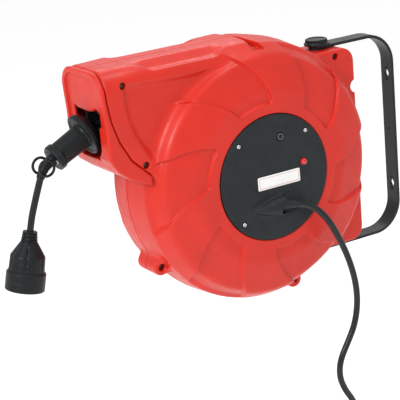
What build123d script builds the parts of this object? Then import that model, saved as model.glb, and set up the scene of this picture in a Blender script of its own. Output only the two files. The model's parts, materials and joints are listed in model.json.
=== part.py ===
"""Wall-mounted, spring-retracted extension cord reel, built as an assembly of separate pieces.

Every piece is drawn in the reel's own frame, in millimetres: the spool turns about the Y axis through
the origin, the two half shells meet in the plane y = 0, the round side cover faces +Y, the cable leaves
the nose towards +X, and +Z is up. When a piece is written it is moved to the row frame, whose origin is
midway between the wall plate's two slots, on its back face: the reel then hangs in front of the wall
plane x = 0.
"""

import os
from math import cos, pi, radians, sin, tan

from build123d import *

os.makedirs("parts", exist_ok=True)

# ---------------------------------------------------------------- driving dimensions
# Where the spool's axis sits in front of the wall plate's back face, and above its middle.
AXLE_OUT = 246.0
AXLE_UP = 2.0

# Housing: two half shells. Profile radii are given at distances from the parting plane.
WALL = 4.0
DRUM_R = 168.0
RIM_R, RIM_Y = 164.0, 38.0
SHOULDER_R, SHOULDER_Y = 153.0, 62.0
FLAT_R, HALF_WIDTH = 112.0, 75.0
SHOULDER_ROUND = 16.0
NOSE_HALF = 50.0
NOSE_TOP = 168.0
# Side outline of the nose behind the mouth frame, from its top front corner down to the chin.
NOSE_FRONT = [(210, 168), (209, 134), (205, 108), (197, 83), (183, 57), (157, 32), (132, 10)]
# Front outline of the mouth frame, from its top down to the chin.
FRAME_FRONT = [(217, 168), (215, 134), (213.5, 110), (212.5, 62), (203, 46), (186, 33), (146, 14)]
FRAME_HALF = 51.0
MOUTH = {"y": (-33.0, 31.0), "z": (58.0, 120.0)}
BLOCK_HALF = 28.0
BLOCK_REAR = -168.0
BLOCK_TOP = 128.8
BLOCK_BOTTOM = -132.8
BLOCK_ROUND = 18.0
NOTCH_X, NOTCH_Z, NOTCH_R = -169.0, 76.0, 8.5
LUGS = [(141.0, -96.0), (-56.0, -165.0)]
LUG_R, LUG_HALF = 11.0, 22.0
COVER_R, COVER_SEAT_Y, COVER_FACE_Y = 80.0, 71.6, 76.6
OPENING_R = 64.0
COVER_LAND_R, COVER_LAND_Y = 90.0, 66.0
COVER_SCREWS = [(50.0, 50.0), (-50.0, 50.0), (50.0, -50.0), (-50.0, -50.0)]

# Shell screws: (x, z, height of the face that each one is sunk into).
SHELL_SCREWS = [
    (185.0, 148.0, NOSE_HALF),
    (164.0, 47.0, NOSE_HALF),
    (-139.0, 120.0, BLOCK_HALF),
    (-116.0, -122.0, BLOCK_HALF),
    (LUGS[0][0], LUGS[0][1], LUG_HALF),
    (LUGS[1][0], LUGS[1][1], LUG_HALF),
]
SCREW_R, SCREW_HEAD_R, SCREW_HEAD_H, SCREW_SINK, SCREW_TIP_Y = 1.8, 3.8, 2.6, 8.0, -20.0
BOSS_R = 6.0

# Wall bracket: a flat steel strap bent into a U, and the vertical pivot that it holds the reel by.
STRAP_WIDTH, STRAP_T, STRAP_BEND = 22.0, 4.0, 42.0
PIVOT_X = -130.0
STRAP_TOP, STRAP_BOTTOM = 134.0, -141.0
SLOT_SPACING, SLOT_LENGTH, SLOT_WIDTH, SLOT_EYE_R = 154.0, 22.0, 5.0, 4.6
PIVOT_R, PIVOT_DEPTH = 4.0, 14.5
BUSH_R, BUSH_LENGTH, BUSH_FLANGE_R, STRAP_PLAY = 5.5, 12.0, 11.0, 0.2
KNOB_FLANGE_R, KNOB_FLANGE_T, KNOB_R, KNOB_H = 16.5, 3.0, 14.5, 5.0
HEAD_FLANGE_R, HEAD_FLANGE_T, HEAD_R, HEAD_H = 8.0, 1.0, 6.0, 1.5

# Cable and spool.
CABLE_D = 8.3
HUB_R, HUB_WALL = 84.0, 4.0
LAYERS, LAYER_STEP = 3, 7.2
SPOOL_FAR, SPOOL_NEAR = -33.0, 37.0
FLANGE_R, FLANGE_T = 130.0, 3.0
SHAFT_R, SHAFT_FAR, SHAFT_NEAR = 8.0, -84.0, 66.0
RUNNING = 0.05
EXIT_R = HUB_R + CABLE_D / 2 + LAYERS * LAYER_STEP
PULL_TILT = 3.5
PULL_LENGTH = EXIT_R * radians(80)
SPRING_CASE_R, SPRING_CASE_FAR = 105.0, -65.0

# Stop and socket: the cable turns down as it leaves the mouth, and the stop follows it.
STOP_TILT = 25.5
KINK_X = 198.0

# Free cords, in the reel's frame. Outlet cord: from the stop's neck down to the socket's boot.
OUTLET_ROUTE = [
    (281.0, 0, 49.1),
    (287.4, 0, 33.6),
    (294.0, 0, 16.4),
    (299.6, 0, 1.0),
    (302.8, 0, -12.6),
]
# Supply cord: from the side cover's strain relief, rearwards and down to the tied coil.
SUPPLY_ROUTE = [
    (-11.0, 87.0, -35.0),
    (-23.8, 89.5, -36.5),
    (-37.5, 92.5, -41.5),
    (-50.5, 96.0, -51.5),
    (-62.4, 99.0, -68.0),
    (-75.3, 101.5, -95.0),
    (-87.0, 103.0, -126.0),
    (-94.5, 103.5, -157.5),
    (-95.0, 104.0, -186.5),
    (-88.5, 104.0, -214.0),
    (-75.5, 104.0, -235.5),
    (-62.5, 104.0, -255.5),
    (-59.0, 104.0, -277.0),
    (-66.0, 104.0, -298.0),
    (-78.0, 104.0, -316.5),
    (-85.0, 104.0, -335.0),
    (-86.5, 104.0, -353.0),
]
COIL_R, COIL_TURNS = 46.0, 2
COIL_CENTRE = (SUPPLY_ROUTE[-1][0] + COIL_R, 104.0, SUPPLY_ROUTE[-1][2] - 27.0)
TAIL_LENGTH = 24.0

REEL = Location((AXLE_OUT, 0, AXLE_UP))


# ---------------------------------------------------------------- helpers
def keep(part, name, place=REEL):
    """Label a finished piece, move it to its place in the row frame and write its STEP file."""
    piece = part.moved(place)
    piece.label = name
    export_step(piece, f"parts/{name}.step")


def side(y):
    """The plane at height y with X to the right and Z up. An extrusion from it runs towards -Y."""
    return Plane.XZ.offset(-y)


def disc(y_far, y_near, outer, inner=0.0):
    """A ring or disc about the spool's axis between two heights."""
    with BuildPart() as ring:
        with BuildSketch(side(y_near)):
            Circle(outer)
            if inner:
                Circle(inner, mode=Mode.SUBTRACT)
        extrude(amount=y_near - y_far)
    return ring.part


def tilted(point, tilt):
    """A plane at a point whose normal points forwards and tilt degrees down, with Y to the right."""
    a = radians(tilt)
    return Plane(origin=point, x_dir=(0, 1, 0), z_dir=(cos(a), 0, -sin(a)))


def turned(plane, outline):
    """A piece turned about a plane's normal: outline is a list of (radius, distance along it)."""
    with BuildPart() as piece:
        with BuildSketch(Plane(origin=plane.origin, x_dir=plane.x_dir, z_dir=-plane.y_dir)):
            with BuildLine():
                Polyline(*outline, close=True)
            make_face()
        revolve(axis=Axis(plane.origin, plane.z_dir))
    return piece.part


def arc_radii(route):
    """The radius of each arc of a cord's route: 0.45 of the shorter run over tan(half the turn)."""
    radii = []
    for before, at, after in zip(route, route[1:], route[2:]):
        run_in = Vector(*at) - Vector(*before)
        run_out = Vector(*after) - Vector(*at)
        turn = radians(run_in.get_angle(run_out))
        radii.append(0.45 * min(run_in.length, run_out.length) / tan(turn / 2))
    return radii


def cord_tube(route, diameter, name):
    """A cord's plain tube: straight runs joined by tangent arcs."""
    radii = arc_radii(route)
    print(name, "arc radii", [round(r) for r in radii])
    with BuildPart() as tube:
        with BuildLine() as path:
            FilletPolyline(*route, radius=radii)
        with BuildSketch(Plane(origin=path.line @ 0, z_dir=path.line % 0)):
            Circle(diameter / 2)
        sweep()
    length = sum(edge.length for edge in path.edges())
    section = pi * diameter**2 / 4
    print(name, "length", round(length), "volume ratio", round(tube.part.volume / section / length, 4))
    return tube.part


# ---------------------------------------------------------------- housing shells
def half_body(inset):
    """Half of the housing's outer form, y >= 0. The cavity is the same form, inset by the wall."""
    with BuildPart() as half:
        with BuildSketch(Plane.XY) as profile:
            with BuildLine():
                Polyline(
                    (0, 0),
                    (DRUM_R - inset, 0),
                    (RIM_R - inset, RIM_Y),
                    (SHOULDER_R - inset, SHOULDER_Y - inset / 2),
                    (FLAT_R - inset, HALF_WIDTH - inset),
                    (0, HALF_WIDTH - inset),
                    close=True,
                )
            make_face()
            rounded = profile.vertices().filter_by(lambda v: v.X > 1 and v.Y > 1)
            fillet(rounded, SHOULDER_ROUND)
        revolve(axis=Axis.Y)
        with BuildSketch(Plane.XZ):
            with BuildLine():
                Polyline((0, NOSE_TOP), *NOSE_FRONT, (0, 10), close=True)
            make_face()
            if inset:
                offset(amount=-inset, kind=Kind.INTERSECTION)
        extrude(amount=inset - NOSE_HALF)
        with BuildSketch(Plane.XZ) as block:
            with Locations(((BLOCK_REAR - 80) / 2, (BLOCK_TOP + BLOCK_BOTTOM) / 2)):
                Rectangle(-80 - BLOCK_REAR - 2 * inset, BLOCK_TOP - BLOCK_BOTTOM - 2 * inset)
            rear = block.vertices().group_by(Axis.X)[0]
            fillet(rear, BLOCK_ROUND - inset)
        extrude(amount=inset - BLOCK_HALF)
        if not inset:
            with BuildSketch(Plane.XZ):
                with Locations(*LUGS):
                    Circle(LUG_R)
            extrude(amount=-LUG_HALF)
    return half.part


def shell_cavity():
    """The hollow of one half shell, less the screw bosses, the notch's wall and the pivot bosses."""
    with BuildPart() as cavity:
        add(half_body(WALL))
        with BuildSketch(Plane.XZ):
            with Locations(*[(x, z) for x, z, _ in SHELL_SCREWS]):
                Circle(BOSS_R)
            with Locations((NOTCH_X, NOTCH_Z)):
                Circle(NOTCH_R + WALL)
        extrude(amount=-HALF_WIDTH, mode=Mode.SUBTRACT)
        with BuildSketch(side(COVER_LAND_Y)):
            Circle(COVER_LAND_R)
        extrude(amount=COVER_LAND_Y - HALF_WIDTH, mode=Mode.SUBTRACT)
        with BuildSketch(Plane.XY.offset(BLOCK_TOP - PIVOT_DEPTH - WALL)):
            with Locations((PIVOT_X, 0)):
                Circle(BUSH_R + WALL)
        extrude(amount=PIVOT_DEPTH + WALL, mode=Mode.SUBTRACT)
        with BuildSketch(Plane.XY.offset(BLOCK_BOTTOM)):
            with Locations((PIVOT_X, 0)):
                Circle(BUSH_R + WALL)
        extrude(amount=PIVOT_DEPTH + WALL, mode=Mode.SUBTRACT)
    return cavity.part


def open_shell():
    """What both half shells share: walls, bosses, notch, pivot holes and the nose's open front."""
    with BuildPart() as shell:
        add(half_body(0))
        add(shell_cavity(), mode=Mode.SUBTRACT)
        with BuildSketch(Plane.XZ):
            with Locations((NOTCH_X, NOTCH_Z)):
                Circle(NOTCH_R)
        extrude(amount=-BLOCK_HALF, mode=Mode.SUBTRACT)
        with BuildSketch(Plane.YZ.offset(KINK_X - 24)):
            with Locations((0, (MOUTH["z"][0] + NOSE_TOP - WALL) / 2)):
                Rectangle(2 * (NOSE_HALF - WALL), NOSE_TOP - WALL - MOUTH["z"][0])
        extrude(amount=40, mode=Mode.SUBTRACT)
        with BuildSketch(Plane.XY.offset(BLOCK_BOTTOM)):
            with Locations((PIVOT_X, 0)):
                Circle(BUSH_R)
        extrude(amount=PIVOT_DEPTH, mode=Mode.SUBTRACT)
        with BuildSketch(Plane.XY.offset(BLOCK_TOP - PIVOT_DEPTH)):
            with Locations((PIVOT_X, 0)):
                Circle(BUSH_R)
        extrude(amount=PIVOT_DEPTH, mode=Mode.SUBTRACT)
    return shell.part


SHELL = open_shell()

# Pawl pivot: beside the ratchet ring, at a polar angle measured from +X towards +Z.
PAWL_PIVOT_R, PAWL_ANGLE, PAWL_LENGTH, PAWL_REST = 116.0, 165.0, 26.0, 34.5
PAWL_X = PAWL_PIVOT_R * cos(radians(PAWL_ANGLE))
PAWL_Z = PAWL_PIVOT_R * sin(radians(PAWL_ANGLE))
PAWL_PIN_R, PAWL_PIN_NEAR, PAWL_BOSS_Y = 3.0, 60.0, 52.0

# The near half carries the cover's seat, the pawl's boss and the screws' sunk heads.
with BuildPart() as near_housing:
    add(SHELL)
    with BuildSketch(side(HALF_WIDTH - 1)):
        with Locations((PAWL_X, PAWL_Z)):
            Circle(BOSS_R)
    extrude(amount=HALF_WIDTH - 1 - PAWL_BOSS_Y)
    with BuildSketch(side(PAWL_PIN_NEAR)):
        with Locations((PAWL_X, PAWL_Z)):
            Circle(PAWL_PIN_R)
    extrude(amount=PAWL_PIN_NEAR - PAWL_BOSS_Y, mode=Mode.SUBTRACT)
    with BuildSketch(side(HALF_WIDTH)):
        Circle(OPENING_R)
    extrude(amount=HALF_WIDTH - COVER_LAND_Y + 1, mode=Mode.SUBTRACT)
    with BuildSketch(side(HALF_WIDTH)):
        Circle(COVER_R + 0.6)
    extrude(amount=HALF_WIDTH - COVER_SEAT_Y, mode=Mode.SUBTRACT)
    for x, z, face in SHELL_SCREWS:
        with BuildSketch(side(face)):
            with Locations((x, z)):
                Circle(SCREW_HEAD_R + 0.7)
        extrude(amount=SCREW_SINK, mode=Mode.SUBTRACT)
        with BuildSketch(side(face)):
            with Locations((x, z)):
                Circle(SCREW_R + 0.3)
        extrude(amount=face, mode=Mode.SUBTRACT)
    with BuildSketch(side(HALF_WIDTH)):
        with Locations(*COVER_SCREWS):
            Circle(2.2)
    extrude(amount=HALF_WIDTH - COVER_LAND_Y, mode=Mode.SUBTRACT)
keep(near_housing.part, "near_housing")

# The far half mirrors it, with blind screw holes and a thick boss for the fixed shaft.
with BuildPart() as far_housing:
    add(mirror(SHELL, about=Plane.XZ))
    with BuildSketch(Plane.XZ):
        with Locations(*[(x, z) for x, z, _ in SHELL_SCREWS]):
            Circle(SCREW_R + 0.1)
    extrude(amount=-SCREW_TIP_Y + 1, mode=Mode.SUBTRACT)
    with BuildSketch(side(-COVER_LAND_Y)):
        Circle(SHAFT_R + RUNNING)
    extrude(amount=HALF_WIDTH, mode=Mode.SUBTRACT)
keep(far_housing.part, "far_housing")

# Mouth frame: the front piece that closes the nose and holds the cable's mouth.
with BuildPart() as mouth_frame:
    with BuildSketch(side(FRAME_HALF)):
        with BuildLine():
            Polyline(*NOSE_FRONT[:-1], *reversed(FRAME_FRONT), close=True)
        make_face()
    extrude(amount=2 * FRAME_HALF)
    add(half_body(0), mode=Mode.SUBTRACT)
    add(mirror(half_body(0), about=Plane.XZ), mode=Mode.SUBTRACT)
    with BuildSketch(Plane.YZ.offset(150)):
        with Locations((sum(MOUTH["y"]) / 2, sum(MOUTH["z"]) / 2)):
            RectangleRounded(MOUTH["y"][1] - MOUTH["y"][0], MOUTH["z"][1] - MOUTH["z"][0], 14)
    extrude(amount=80, mode=Mode.SUBTRACT)
keep(mouth_frame.part, "mouth_frame")

with BuildPart() as shell_screws:
    for x, z, face in SHELL_SCREWS:
        seat = face - SCREW_SINK
        with BuildSketch(side(seat + SCREW_HEAD_H)):
            with Locations((x, z)):
                Circle(SCREW_HEAD_R)
        extrude(amount=SCREW_HEAD_H)
        with BuildSketch(side(seat)):
            with Locations((x, z)):
                Circle(SCREW_R)
        extrude(amount=seat - SCREW_TIP_Y)
keep(shell_screws.part, "shell_screws")

# ---------------------------------------------------------------- side cover
BUTTON_XZ, LAMP_XZ, PLATE_XZ = (-12.0, 50.0), (-44.0, 11.0), (-5.5, -4.0)
BUTTON_R, LAMP_R, PLATE_LONG, PLATE_HIGH, PLATE_T = 4.3, 4.5, 63.0, 17.0, 0.9
CUTOUT_LONG, CUTOUT_HIGH, CUTOUT_Y = 14.0, 22.0, 70.0
COVER_HEAD_R, COVER_HEAD_H, COVER_SCREW_R, COVER_SCREW_TIP = 3.6, 1.6, 2.0, 60.0
BUMP_TIP, BUMP_MOUTH, BUMP_Z = 33.0, -8.0, -37.0
BUMP_HALF, BUMP_HEIGHT = 12.5, 17.5
RELIEF_R, RELIEF_TIP_R, RELIEF_LENGTH = 6.2, 5.0, 24.0
supply_start = Vector(*SUPPLY_ROUTE[0])
RELIEF = Plane(origin=supply_start, x_dir=(0, 1, 0), z_dir=supply_start - Vector(*SUPPLY_ROUTE[1]))

with BuildPart() as side_cover:
    add(disc(COVER_SEAT_Y, COVER_FACE_Y, COVER_R))
    rim = side_cover.edges().filter_by(GeomType.CIRCLE).sort_by(Axis.Y)[-1]
    fillet(rim, 1.2)
    with BuildSketch(Plane(origin=(BUMP_MOUTH, COVER_FACE_Y, BUMP_Z), x_dir=(0, 0, 1), z_dir=(1, 0, 0))):
        Ellipse(BUMP_HALF, BUMP_HEIGHT)
    with BuildSketch(Plane(origin=(BUMP_TIP, COVER_FACE_Y, BUMP_Z), x_dir=(0, 0, 1), z_dir=(1, 0, 0))):
        Ellipse(2.5, 1.0)
    loft()
    with BuildSketch(side(COVER_SEAT_Y)):
        Circle(COVER_R)
    extrude(amount=40, mode=Mode.SUBTRACT)
    with BuildSketch(RELIEF):
        Circle(RELIEF_R)
    extrude(amount=RELIEF_LENGTH, mode=Mode.SUBTRACT)
    with BuildSketch(side(COVER_FACE_Y + 1)):
        with Locations(*COVER_SCREWS):
            Circle(COVER_SCREW_R + 0.3)
        with Locations(BUTTON_XZ):
            Circle(BUTTON_R + 0.3)
        with Locations(LAMP_XZ):
            Circle(LAMP_R)
    extrude(amount=10, mode=Mode.SUBTRACT)
keep(side_cover.part, "side_cover")

with BuildPart() as cover_screws:
    for x, z in COVER_SCREWS:
        with BuildSketch(side(COVER_FACE_Y + COVER_HEAD_H)):
            with Locations((x, z)):
                Circle(COVER_HEAD_R)
        extrude(amount=COVER_HEAD_H)
        with BuildSketch(side(COVER_FACE_Y)):
            with Locations((x, z)):
                Circle(COVER_SCREW_R)
        extrude(amount=COVER_FACE_Y - COVER_SCREW_TIP)
keep(cover_screws.part, "cover_screws")

with BuildPart() as name_plate:
    with BuildSketch(side(COVER_FACE_Y + PLATE_T)):
        with Locations(PLATE_XZ):
            RectangleRounded(PLATE_LONG, PLATE_HIGH, 1.5)
    extrude(amount=PLATE_T)
keep(name_plate.part, "name_plate")

with BuildPart() as pilot_lamp:
    with BuildSketch(side(COVER_FACE_Y + 1.2)):
        with Locations(LAMP_XZ):
            Circle(LAMP_R)
    extrude(amount=9)
    lens = pilot_lamp.edges().filter_by(GeomType.CIRCLE).sort_by(Axis.Y)[-1]
    fillet(lens, 1.1)
keep(pilot_lamp.part, "pilot_lamp")

# Thermal cut-out: a fixed body behind the cover and the button that resets it.
with BuildPart() as thermal_cutout:
    with BuildSketch(side(CUTOUT_Y)):
        with Locations(BUTTON_XZ):
            Rectangle(CUTOUT_LONG, CUTOUT_HIGH)
            Circle(BUTTON_R + 0.3, mode=Mode.SUBTRACT)
    extrude(amount=3.5)
    with BuildSketch(side(CUTOUT_Y - 3.5)):
        with Locations(BUTTON_XZ):
            Rectangle(CUTOUT_LONG, CUTOUT_HIGH)
    extrude(amount=0.5)
keep(thermal_cutout.part, "thermal_cutout")

with BuildPart() as reset_button:
    with BuildSketch(side(COVER_FACE_Y + 0.4)):
        with Locations(BUTTON_XZ):
            Circle(BUTTON_R)
    extrude(amount=COVER_FACE_Y + 0.4 - CUTOUT_Y + 0.5)
keep(reset_button.part, "reset_button")

relief_sleeve = [(0, 0), (RELIEF_TIP_R, 0), (RELIEF_R, 8), (RELIEF_R, RELIEF_LENGTH), (0, RELIEF_LENGTH)]
strain_relief = turned(RELIEF, relief_sleeve)
keep(strain_relief, "strain_relief")

# ---------------------------------------------------------------- shaft, spool and spring
with BuildPart() as main_shaft:
    add(disc(SHAFT_FAR, SHAFT_NEAR, SHAFT_R))
keep(main_shaft.part, "main_shaft")

with BuildPart() as shaft_nut:
    add(disc(-HALF_WIDTH - 1.6, -HALF_WIDTH, 15, SHAFT_R))
    with BuildSketch(side(-HALF_WIDTH - 1.6)):
        RegularPolygon(12, 6)
        Circle(SHAFT_R, mode=Mode.SUBTRACT)
    extrude(amount=6.5)
keep(shaft_nut.part, "shaft_nut")

# A round cap covers the nut on the far side.
with BuildPart() as shaft_cap:
    add(disc(-HALF_WIDTH - 13, -HALF_WIDTH, 26))
    edge = shaft_cap.edges().filter_by(GeomType.CIRCLE).sort_by(Axis.Y)[0]
    fillet(edge, 3)
    add(disc(-HALF_WIDTH - 10.5, -HALF_WIDTH, 22), mode=Mode.SUBTRACT)
keep(shaft_cap.part, "shaft_cap")

BOSS_IN, BOSS_OUT = 11.0, 15.0
with BuildPart() as spool_hub:
    add(disc(SPOOL_FAR, SPOOL_NEAR, HUB_R, HUB_R - HUB_WALL))
    add(disc(SPOOL_FAR, SPOOL_FAR + 3, HUB_R - 1, BOSS_IN))
    add(disc(SPOOL_FAR, SPOOL_NEAR, BOSS_OUT, BOSS_IN))
    for turn in range(6):
        with BuildSketch(Plane.XY.rotated((0, 60 * turn, 0))):
            with Locations(((HUB_R - HUB_WALL + BOSS_OUT) / 2, (SPOOL_FAR + SPOOL_NEAR) / 2)):
                Rectangle(HUB_R - HUB_WALL - BOSS_OUT + 2, SPOOL_NEAR - SPOOL_FAR)
        extrude(amount=1.5, both=True)
keep(spool_hub.part, "spool_hub")

bush_gap = SHAFT_R + RUNNING
with BuildPart() as spool_bushes:
    add(disc(SPOOL_FAR, SPOOL_FAR + 12, BOSS_IN, bush_gap))
    add(disc(SPOOL_NEAR - 12, SPOOL_NEAR, BOSS_IN, bush_gap))
keep(spool_bushes.part, "spool_bushes")

with BuildPart() as near_flange:
    add(disc(SPOOL_NEAR, SPOOL_NEAR + FLANGE_T, FLANGE_R, BOSS_IN))
    with BuildSketch(side(SPOOL_NEAR + FLANGE_T)):
        with PolarLocations(48, 6):
            Circle(14)
    extrude(amount=FLANGE_T, mode=Mode.SUBTRACT)
keep(near_flange.part, "near_flange")
keep(disc(SPOOL_FAR - FLANGE_T, SPOOL_FAR, FLANGE_R, BOSS_IN), "far_flange")

# The wound cable: full layers, and one more turn that ends where the cable leaves on a tangent.
WINDING_R = EXIT_R - CABLE_D / 2 - 0.4
LAST_TURN, LAST_TURN_GAP = 300.0, 1.2
last_turn_start = 90 - PULL_TILT + LAST_TURN_GAP + LAST_TURN
with BuildPart() as cable_winding:
    add(disc(SPOOL_FAR, SPOOL_NEAR, WINDING_R, HUB_R))
    with BuildSketch(Plane.XY):
        with Locations((EXIT_R, 0)):
            Circle(CABLE_D / 2)
        with Locations((WINDING_R, 0)):
            Rectangle(3, 3)
    revolve(axis=Axis.Y, revolution_arc=LAST_TURN)
keep(cable_winding.part.rotate(Axis.Y, -last_turn_start), "cable_winding")

# Spring case on the far flange, closed by its lid, with the flat spiral spring and its fixed arbor.
case_near = SPOOL_FAR - FLANGE_T
with BuildPart() as spring_case:
    add(disc(SPRING_CASE_FAR + 2, case_near, SPRING_CASE_R, SPRING_CASE_R - 2))
keep(spring_case.part, "spring_case")
keep(disc(SPRING_CASE_FAR, SPRING_CASE_FAR + 2, SPRING_CASE_R, SHAFT_R + 1), "spring_lid")
ARBOR_R = 18.0
keep(disc(SPRING_CASE_FAR + 2.6, case_near - 0.6, ARBOR_R, SHAFT_R), "spring_arbor")

SPRING_T, SPRING_PITCH, SPRING_START = 1.0, 6.0, 20.0
half_turns = int(2 * (SPRING_CASE_R - 4 - SPRING_START) / SPRING_PITCH)
with BuildPart() as power_spring:
    with BuildSketch(side(case_near - 2)):
        with BuildLine() as coil_line:
            for step in range(half_turns):
                r = SPRING_START + step * SPRING_PITCH / 2
                shift = SPRING_PITCH / 4 if step % 2 else -SPRING_PITCH / 4
                start = 180 if step % 2 else 0
                CenterArc((shift, 0), r + SPRING_PITCH / 4, start, 180)
        trace(coil_line.line, SPRING_T)
    extrude(amount=case_near - 4 - SPRING_CASE_FAR - 2)
keep(power_spring.part, "power_spring")

# ---------------------------------------------------------------- ratchet
TEETH = 18
TOOTH_TIP_R, TOOTH_ROOT_R, RATCHET_IN, RATCHET_T = 100.0, 94.0, 86.0, 5.0
TIP_ANGLE = 155.6
ratchet_near = SPOOL_NEAR + FLANGE_T + RATCHET_T
with BuildPart() as ratchet_ring:
    with BuildSketch(side(ratchet_near)):
        Circle(TOOTH_ROOT_R)
        with PolarLocations(0, TEETH, start_angle=TIP_ANGLE + 180 / TEETH):
            with BuildLine():
                Polyline(
                    (TOOTH_ROOT_R - 1, -7),
                    (TOOTH_TIP_R, -2.5),
                    (TOOTH_TIP_R, 3.5),
                    (TOOTH_ROOT_R - 1, 4.5),
                    close=True,
                )
            make_face()
        Circle(RATCHET_IN, mode=Mode.SUBTRACT)
    extrude(amount=RATCHET_T)
keep(ratchet_ring.part, "ratchet_ring")

tip_direction = radians(PAWL_ANGLE - 90 - PAWL_REST)
PAWL_TIP = (PAWL_X + PAWL_LENGTH * cos(tip_direction), PAWL_Z + PAWL_LENGTH * sin(tip_direction))
pawl_near = ratchet_near - 0.4
with BuildPart() as pawl:
    with BuildSketch(side(pawl_near)):
        with Locations((PAWL_X, PAWL_Z)):
            Circle(5.5)
        with Locations(PAWL_TIP):
            Circle(1.0)
        make_hull()
        with Locations((PAWL_X, PAWL_Z)):
            Circle(PAWL_PIN_R + RUNNING, mode=Mode.SUBTRACT)
    extrude(amount=4)
keep(pawl.part, "pawl")

with BuildPart() as pawl_pin:
    with BuildSketch(side(PAWL_PIN_NEAR)):
        with Locations((PAWL_X, PAWL_Z)):
            Circle(PAWL_PIN_R)
    extrude(amount=PAWL_PIN_NEAR - SPOOL_NEAR - FLANGE_T - 0.4)
keep(pawl_pin.part, "pawl_pin")

with BuildPart() as pawl_spring:
    with BuildLine() as wire:
        Helix(1.2, 4.8, 4.2, center=(PAWL_X, ratchet_near + 0.7, PAWL_Z), direction=(0, 1, 0))
    with BuildSketch(Plane(origin=wire.line @ 0, z_dir=wire.line % 0)):
        Circle(0.4)
    sweep(is_frenet=True)
keep(pawl_spring.part, "pawl_spring")

# ---------------------------------------------------------------- slip rings and brushes
RING_IN, RING_OUT, RING_T = 25.0, 28.0, 4.0
RING_HEIGHTS = [42.0, 48.0, 54.0]
carrier_near = 59.5
with BuildPart() as slip_ring_carrier:
    add(disc(SPOOL_NEAR + FLANGE_T, carrier_near, RING_IN, SHAFT_R + 1))
keep(slip_ring_carrier.part, "slip_ring_carrier")

with BuildPart() as slip_rings:
    for low in RING_HEIGHTS:
        add(disc(low, low + RING_T, RING_OUT, RING_IN))
keep(slip_rings.part, "slip_rings")

PLATE_FAR = 62.0
with BuildPart() as brush_plate:
    add(disc(PLATE_FAR, COVER_LAND_Y, OPENING_R + 6, SHAFT_R))
    with BuildSketch(side(COVER_LAND_Y)):
        with Locations(*COVER_SCREWS):
            Circle(2.0)
        with PolarLocations(52, 4):
            Circle(8)
    extrude(amount=COVER_LAND_Y - PLATE_FAR, mode=Mode.SUBTRACT)
keep(brush_plate.part, "brush_plate")

BRUSH_X = RING_OUT + 0.1
with BuildPart() as brush_holder:
    with BuildSketch(side(PLATE_FAR)):
        with Locations((BRUSH_X + 10, 0)):
            Rectangle(16, 12)
    extrude(amount=PLATE_FAR - 41)
    for low in RING_HEIGHTS:
        with BuildSketch(side(low + 3.7)):
            with Locations((BRUSH_X + 6, 0)):
                Rectangle(12, 5)
        extrude(amount=3.4, mode=Mode.SUBTRACT)
keep(brush_holder.part, "brush_holder")

with BuildPart() as brushes:
    for low in RING_HEIGHTS:
        with BuildSketch(side(low + 3.7)):
            with Locations((BRUSH_X + 6, 0)):
                Rectangle(12, 5)
        extrude(amount=3.4)
keep(brushes.part, "brushes")

# ---------------------------------------------------------------- guide rollers behind the mouth
pull = Vector(cos(radians(PULL_TILT)), 0, -sin(radians(PULL_TILT)))
leave = Vector(EXIT_R * sin(radians(PULL_TILT)), 0, EXIT_R * cos(radians(PULL_TILT)))
kink = leave + pull * ((KINK_X - leave.X) / pull.X)
ROLLER_R, ROLLER_PIN_R, ROLLER_GAP = 6.0, 2.0, 1.4
ROLLER_AXIS = CABLE_D / 2 + ROLLER_GAP + ROLLER_R
FLAT_X, UPRIGHT_X = 187.0, 172.0
flat_z = leave.Z + (FLAT_X - leave.X) * pull.Z / pull.X
upright_z = leave.Z + (UPRIGHT_X - leave.X) * pull.Z / pull.X
GUIDE = {"x": (163.0, 199.3), "y": 27.0, "z": (upright_z - 23.0, upright_z + 21.0)}
GUIDE_SIDE, GUIDE_LID = 4.5, 3.0
guide_mid_z = sum(GUIDE["z"]) / 2
guide_long = GUIDE["x"][1] - GUIDE["x"][0]
guide_high = GUIDE["z"][1] - GUIDE["z"][0]

with BuildPart() as guide_frame:
    with BuildSketch(Plane.YZ.offset(GUIDE["x"][0])):
        with Locations((0, guide_mid_z)):
            Rectangle(2 * GUIDE["y"], guide_high)
            Rectangle(2 * (GUIDE["y"] - GUIDE_SIDE), guide_high - 2 * GUIDE_LID, mode=Mode.SUBTRACT)
    extrude(amount=guide_long)
    with BuildSketch(Plane.YZ.offset(GUIDE["x"][0])):
        with Locations((0, guide_mid_z)):
            Rectangle(2 * (NOSE_HALF - WALL), guide_high - 4)
            Rectangle(2 * (GUIDE["y"] - GUIDE_SIDE), guide_high - 2 * GUIDE_LID, mode=Mode.SUBTRACT)
    extrude(amount=3)
    with BuildSketch(side(GUIDE["y"])):
        with Locations((FLAT_X, flat_z + ROLLER_AXIS), (FLAT_X, flat_z - ROLLER_AXIS)):
            Circle(ROLLER_PIN_R)
    extrude(amount=2 * GUIDE["y"], mode=Mode.SUBTRACT)
    with BuildSketch(Plane.XY.offset(GUIDE["z"][0])):
        with Locations((UPRIGHT_X, ROLLER_AXIS), (UPRIGHT_X, -ROLLER_AXIS)):
            Circle(ROLLER_PIN_R)
    extrude(amount=guide_high, mode=Mode.SUBTRACT)
keep(guide_frame.part, "guide_frame")

with BuildPart() as roller_pins:
    with BuildSketch(side(GUIDE["y"])):
        with Locations((FLAT_X, flat_z + ROLLER_AXIS), (FLAT_X, flat_z - ROLLER_AXIS)):
            Circle(ROLLER_PIN_R)
    extrude(amount=2 * GUIDE["y"])
    with BuildSketch(Plane.XY.offset(GUIDE["z"][0])):
        with Locations((UPRIGHT_X, ROLLER_AXIS), (UPRIGHT_X, -ROLLER_AXIS)):
            Circle(ROLLER_PIN_R)
    extrude(amount=guide_high)
keep(roller_pins.part, "roller_pins")

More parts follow.
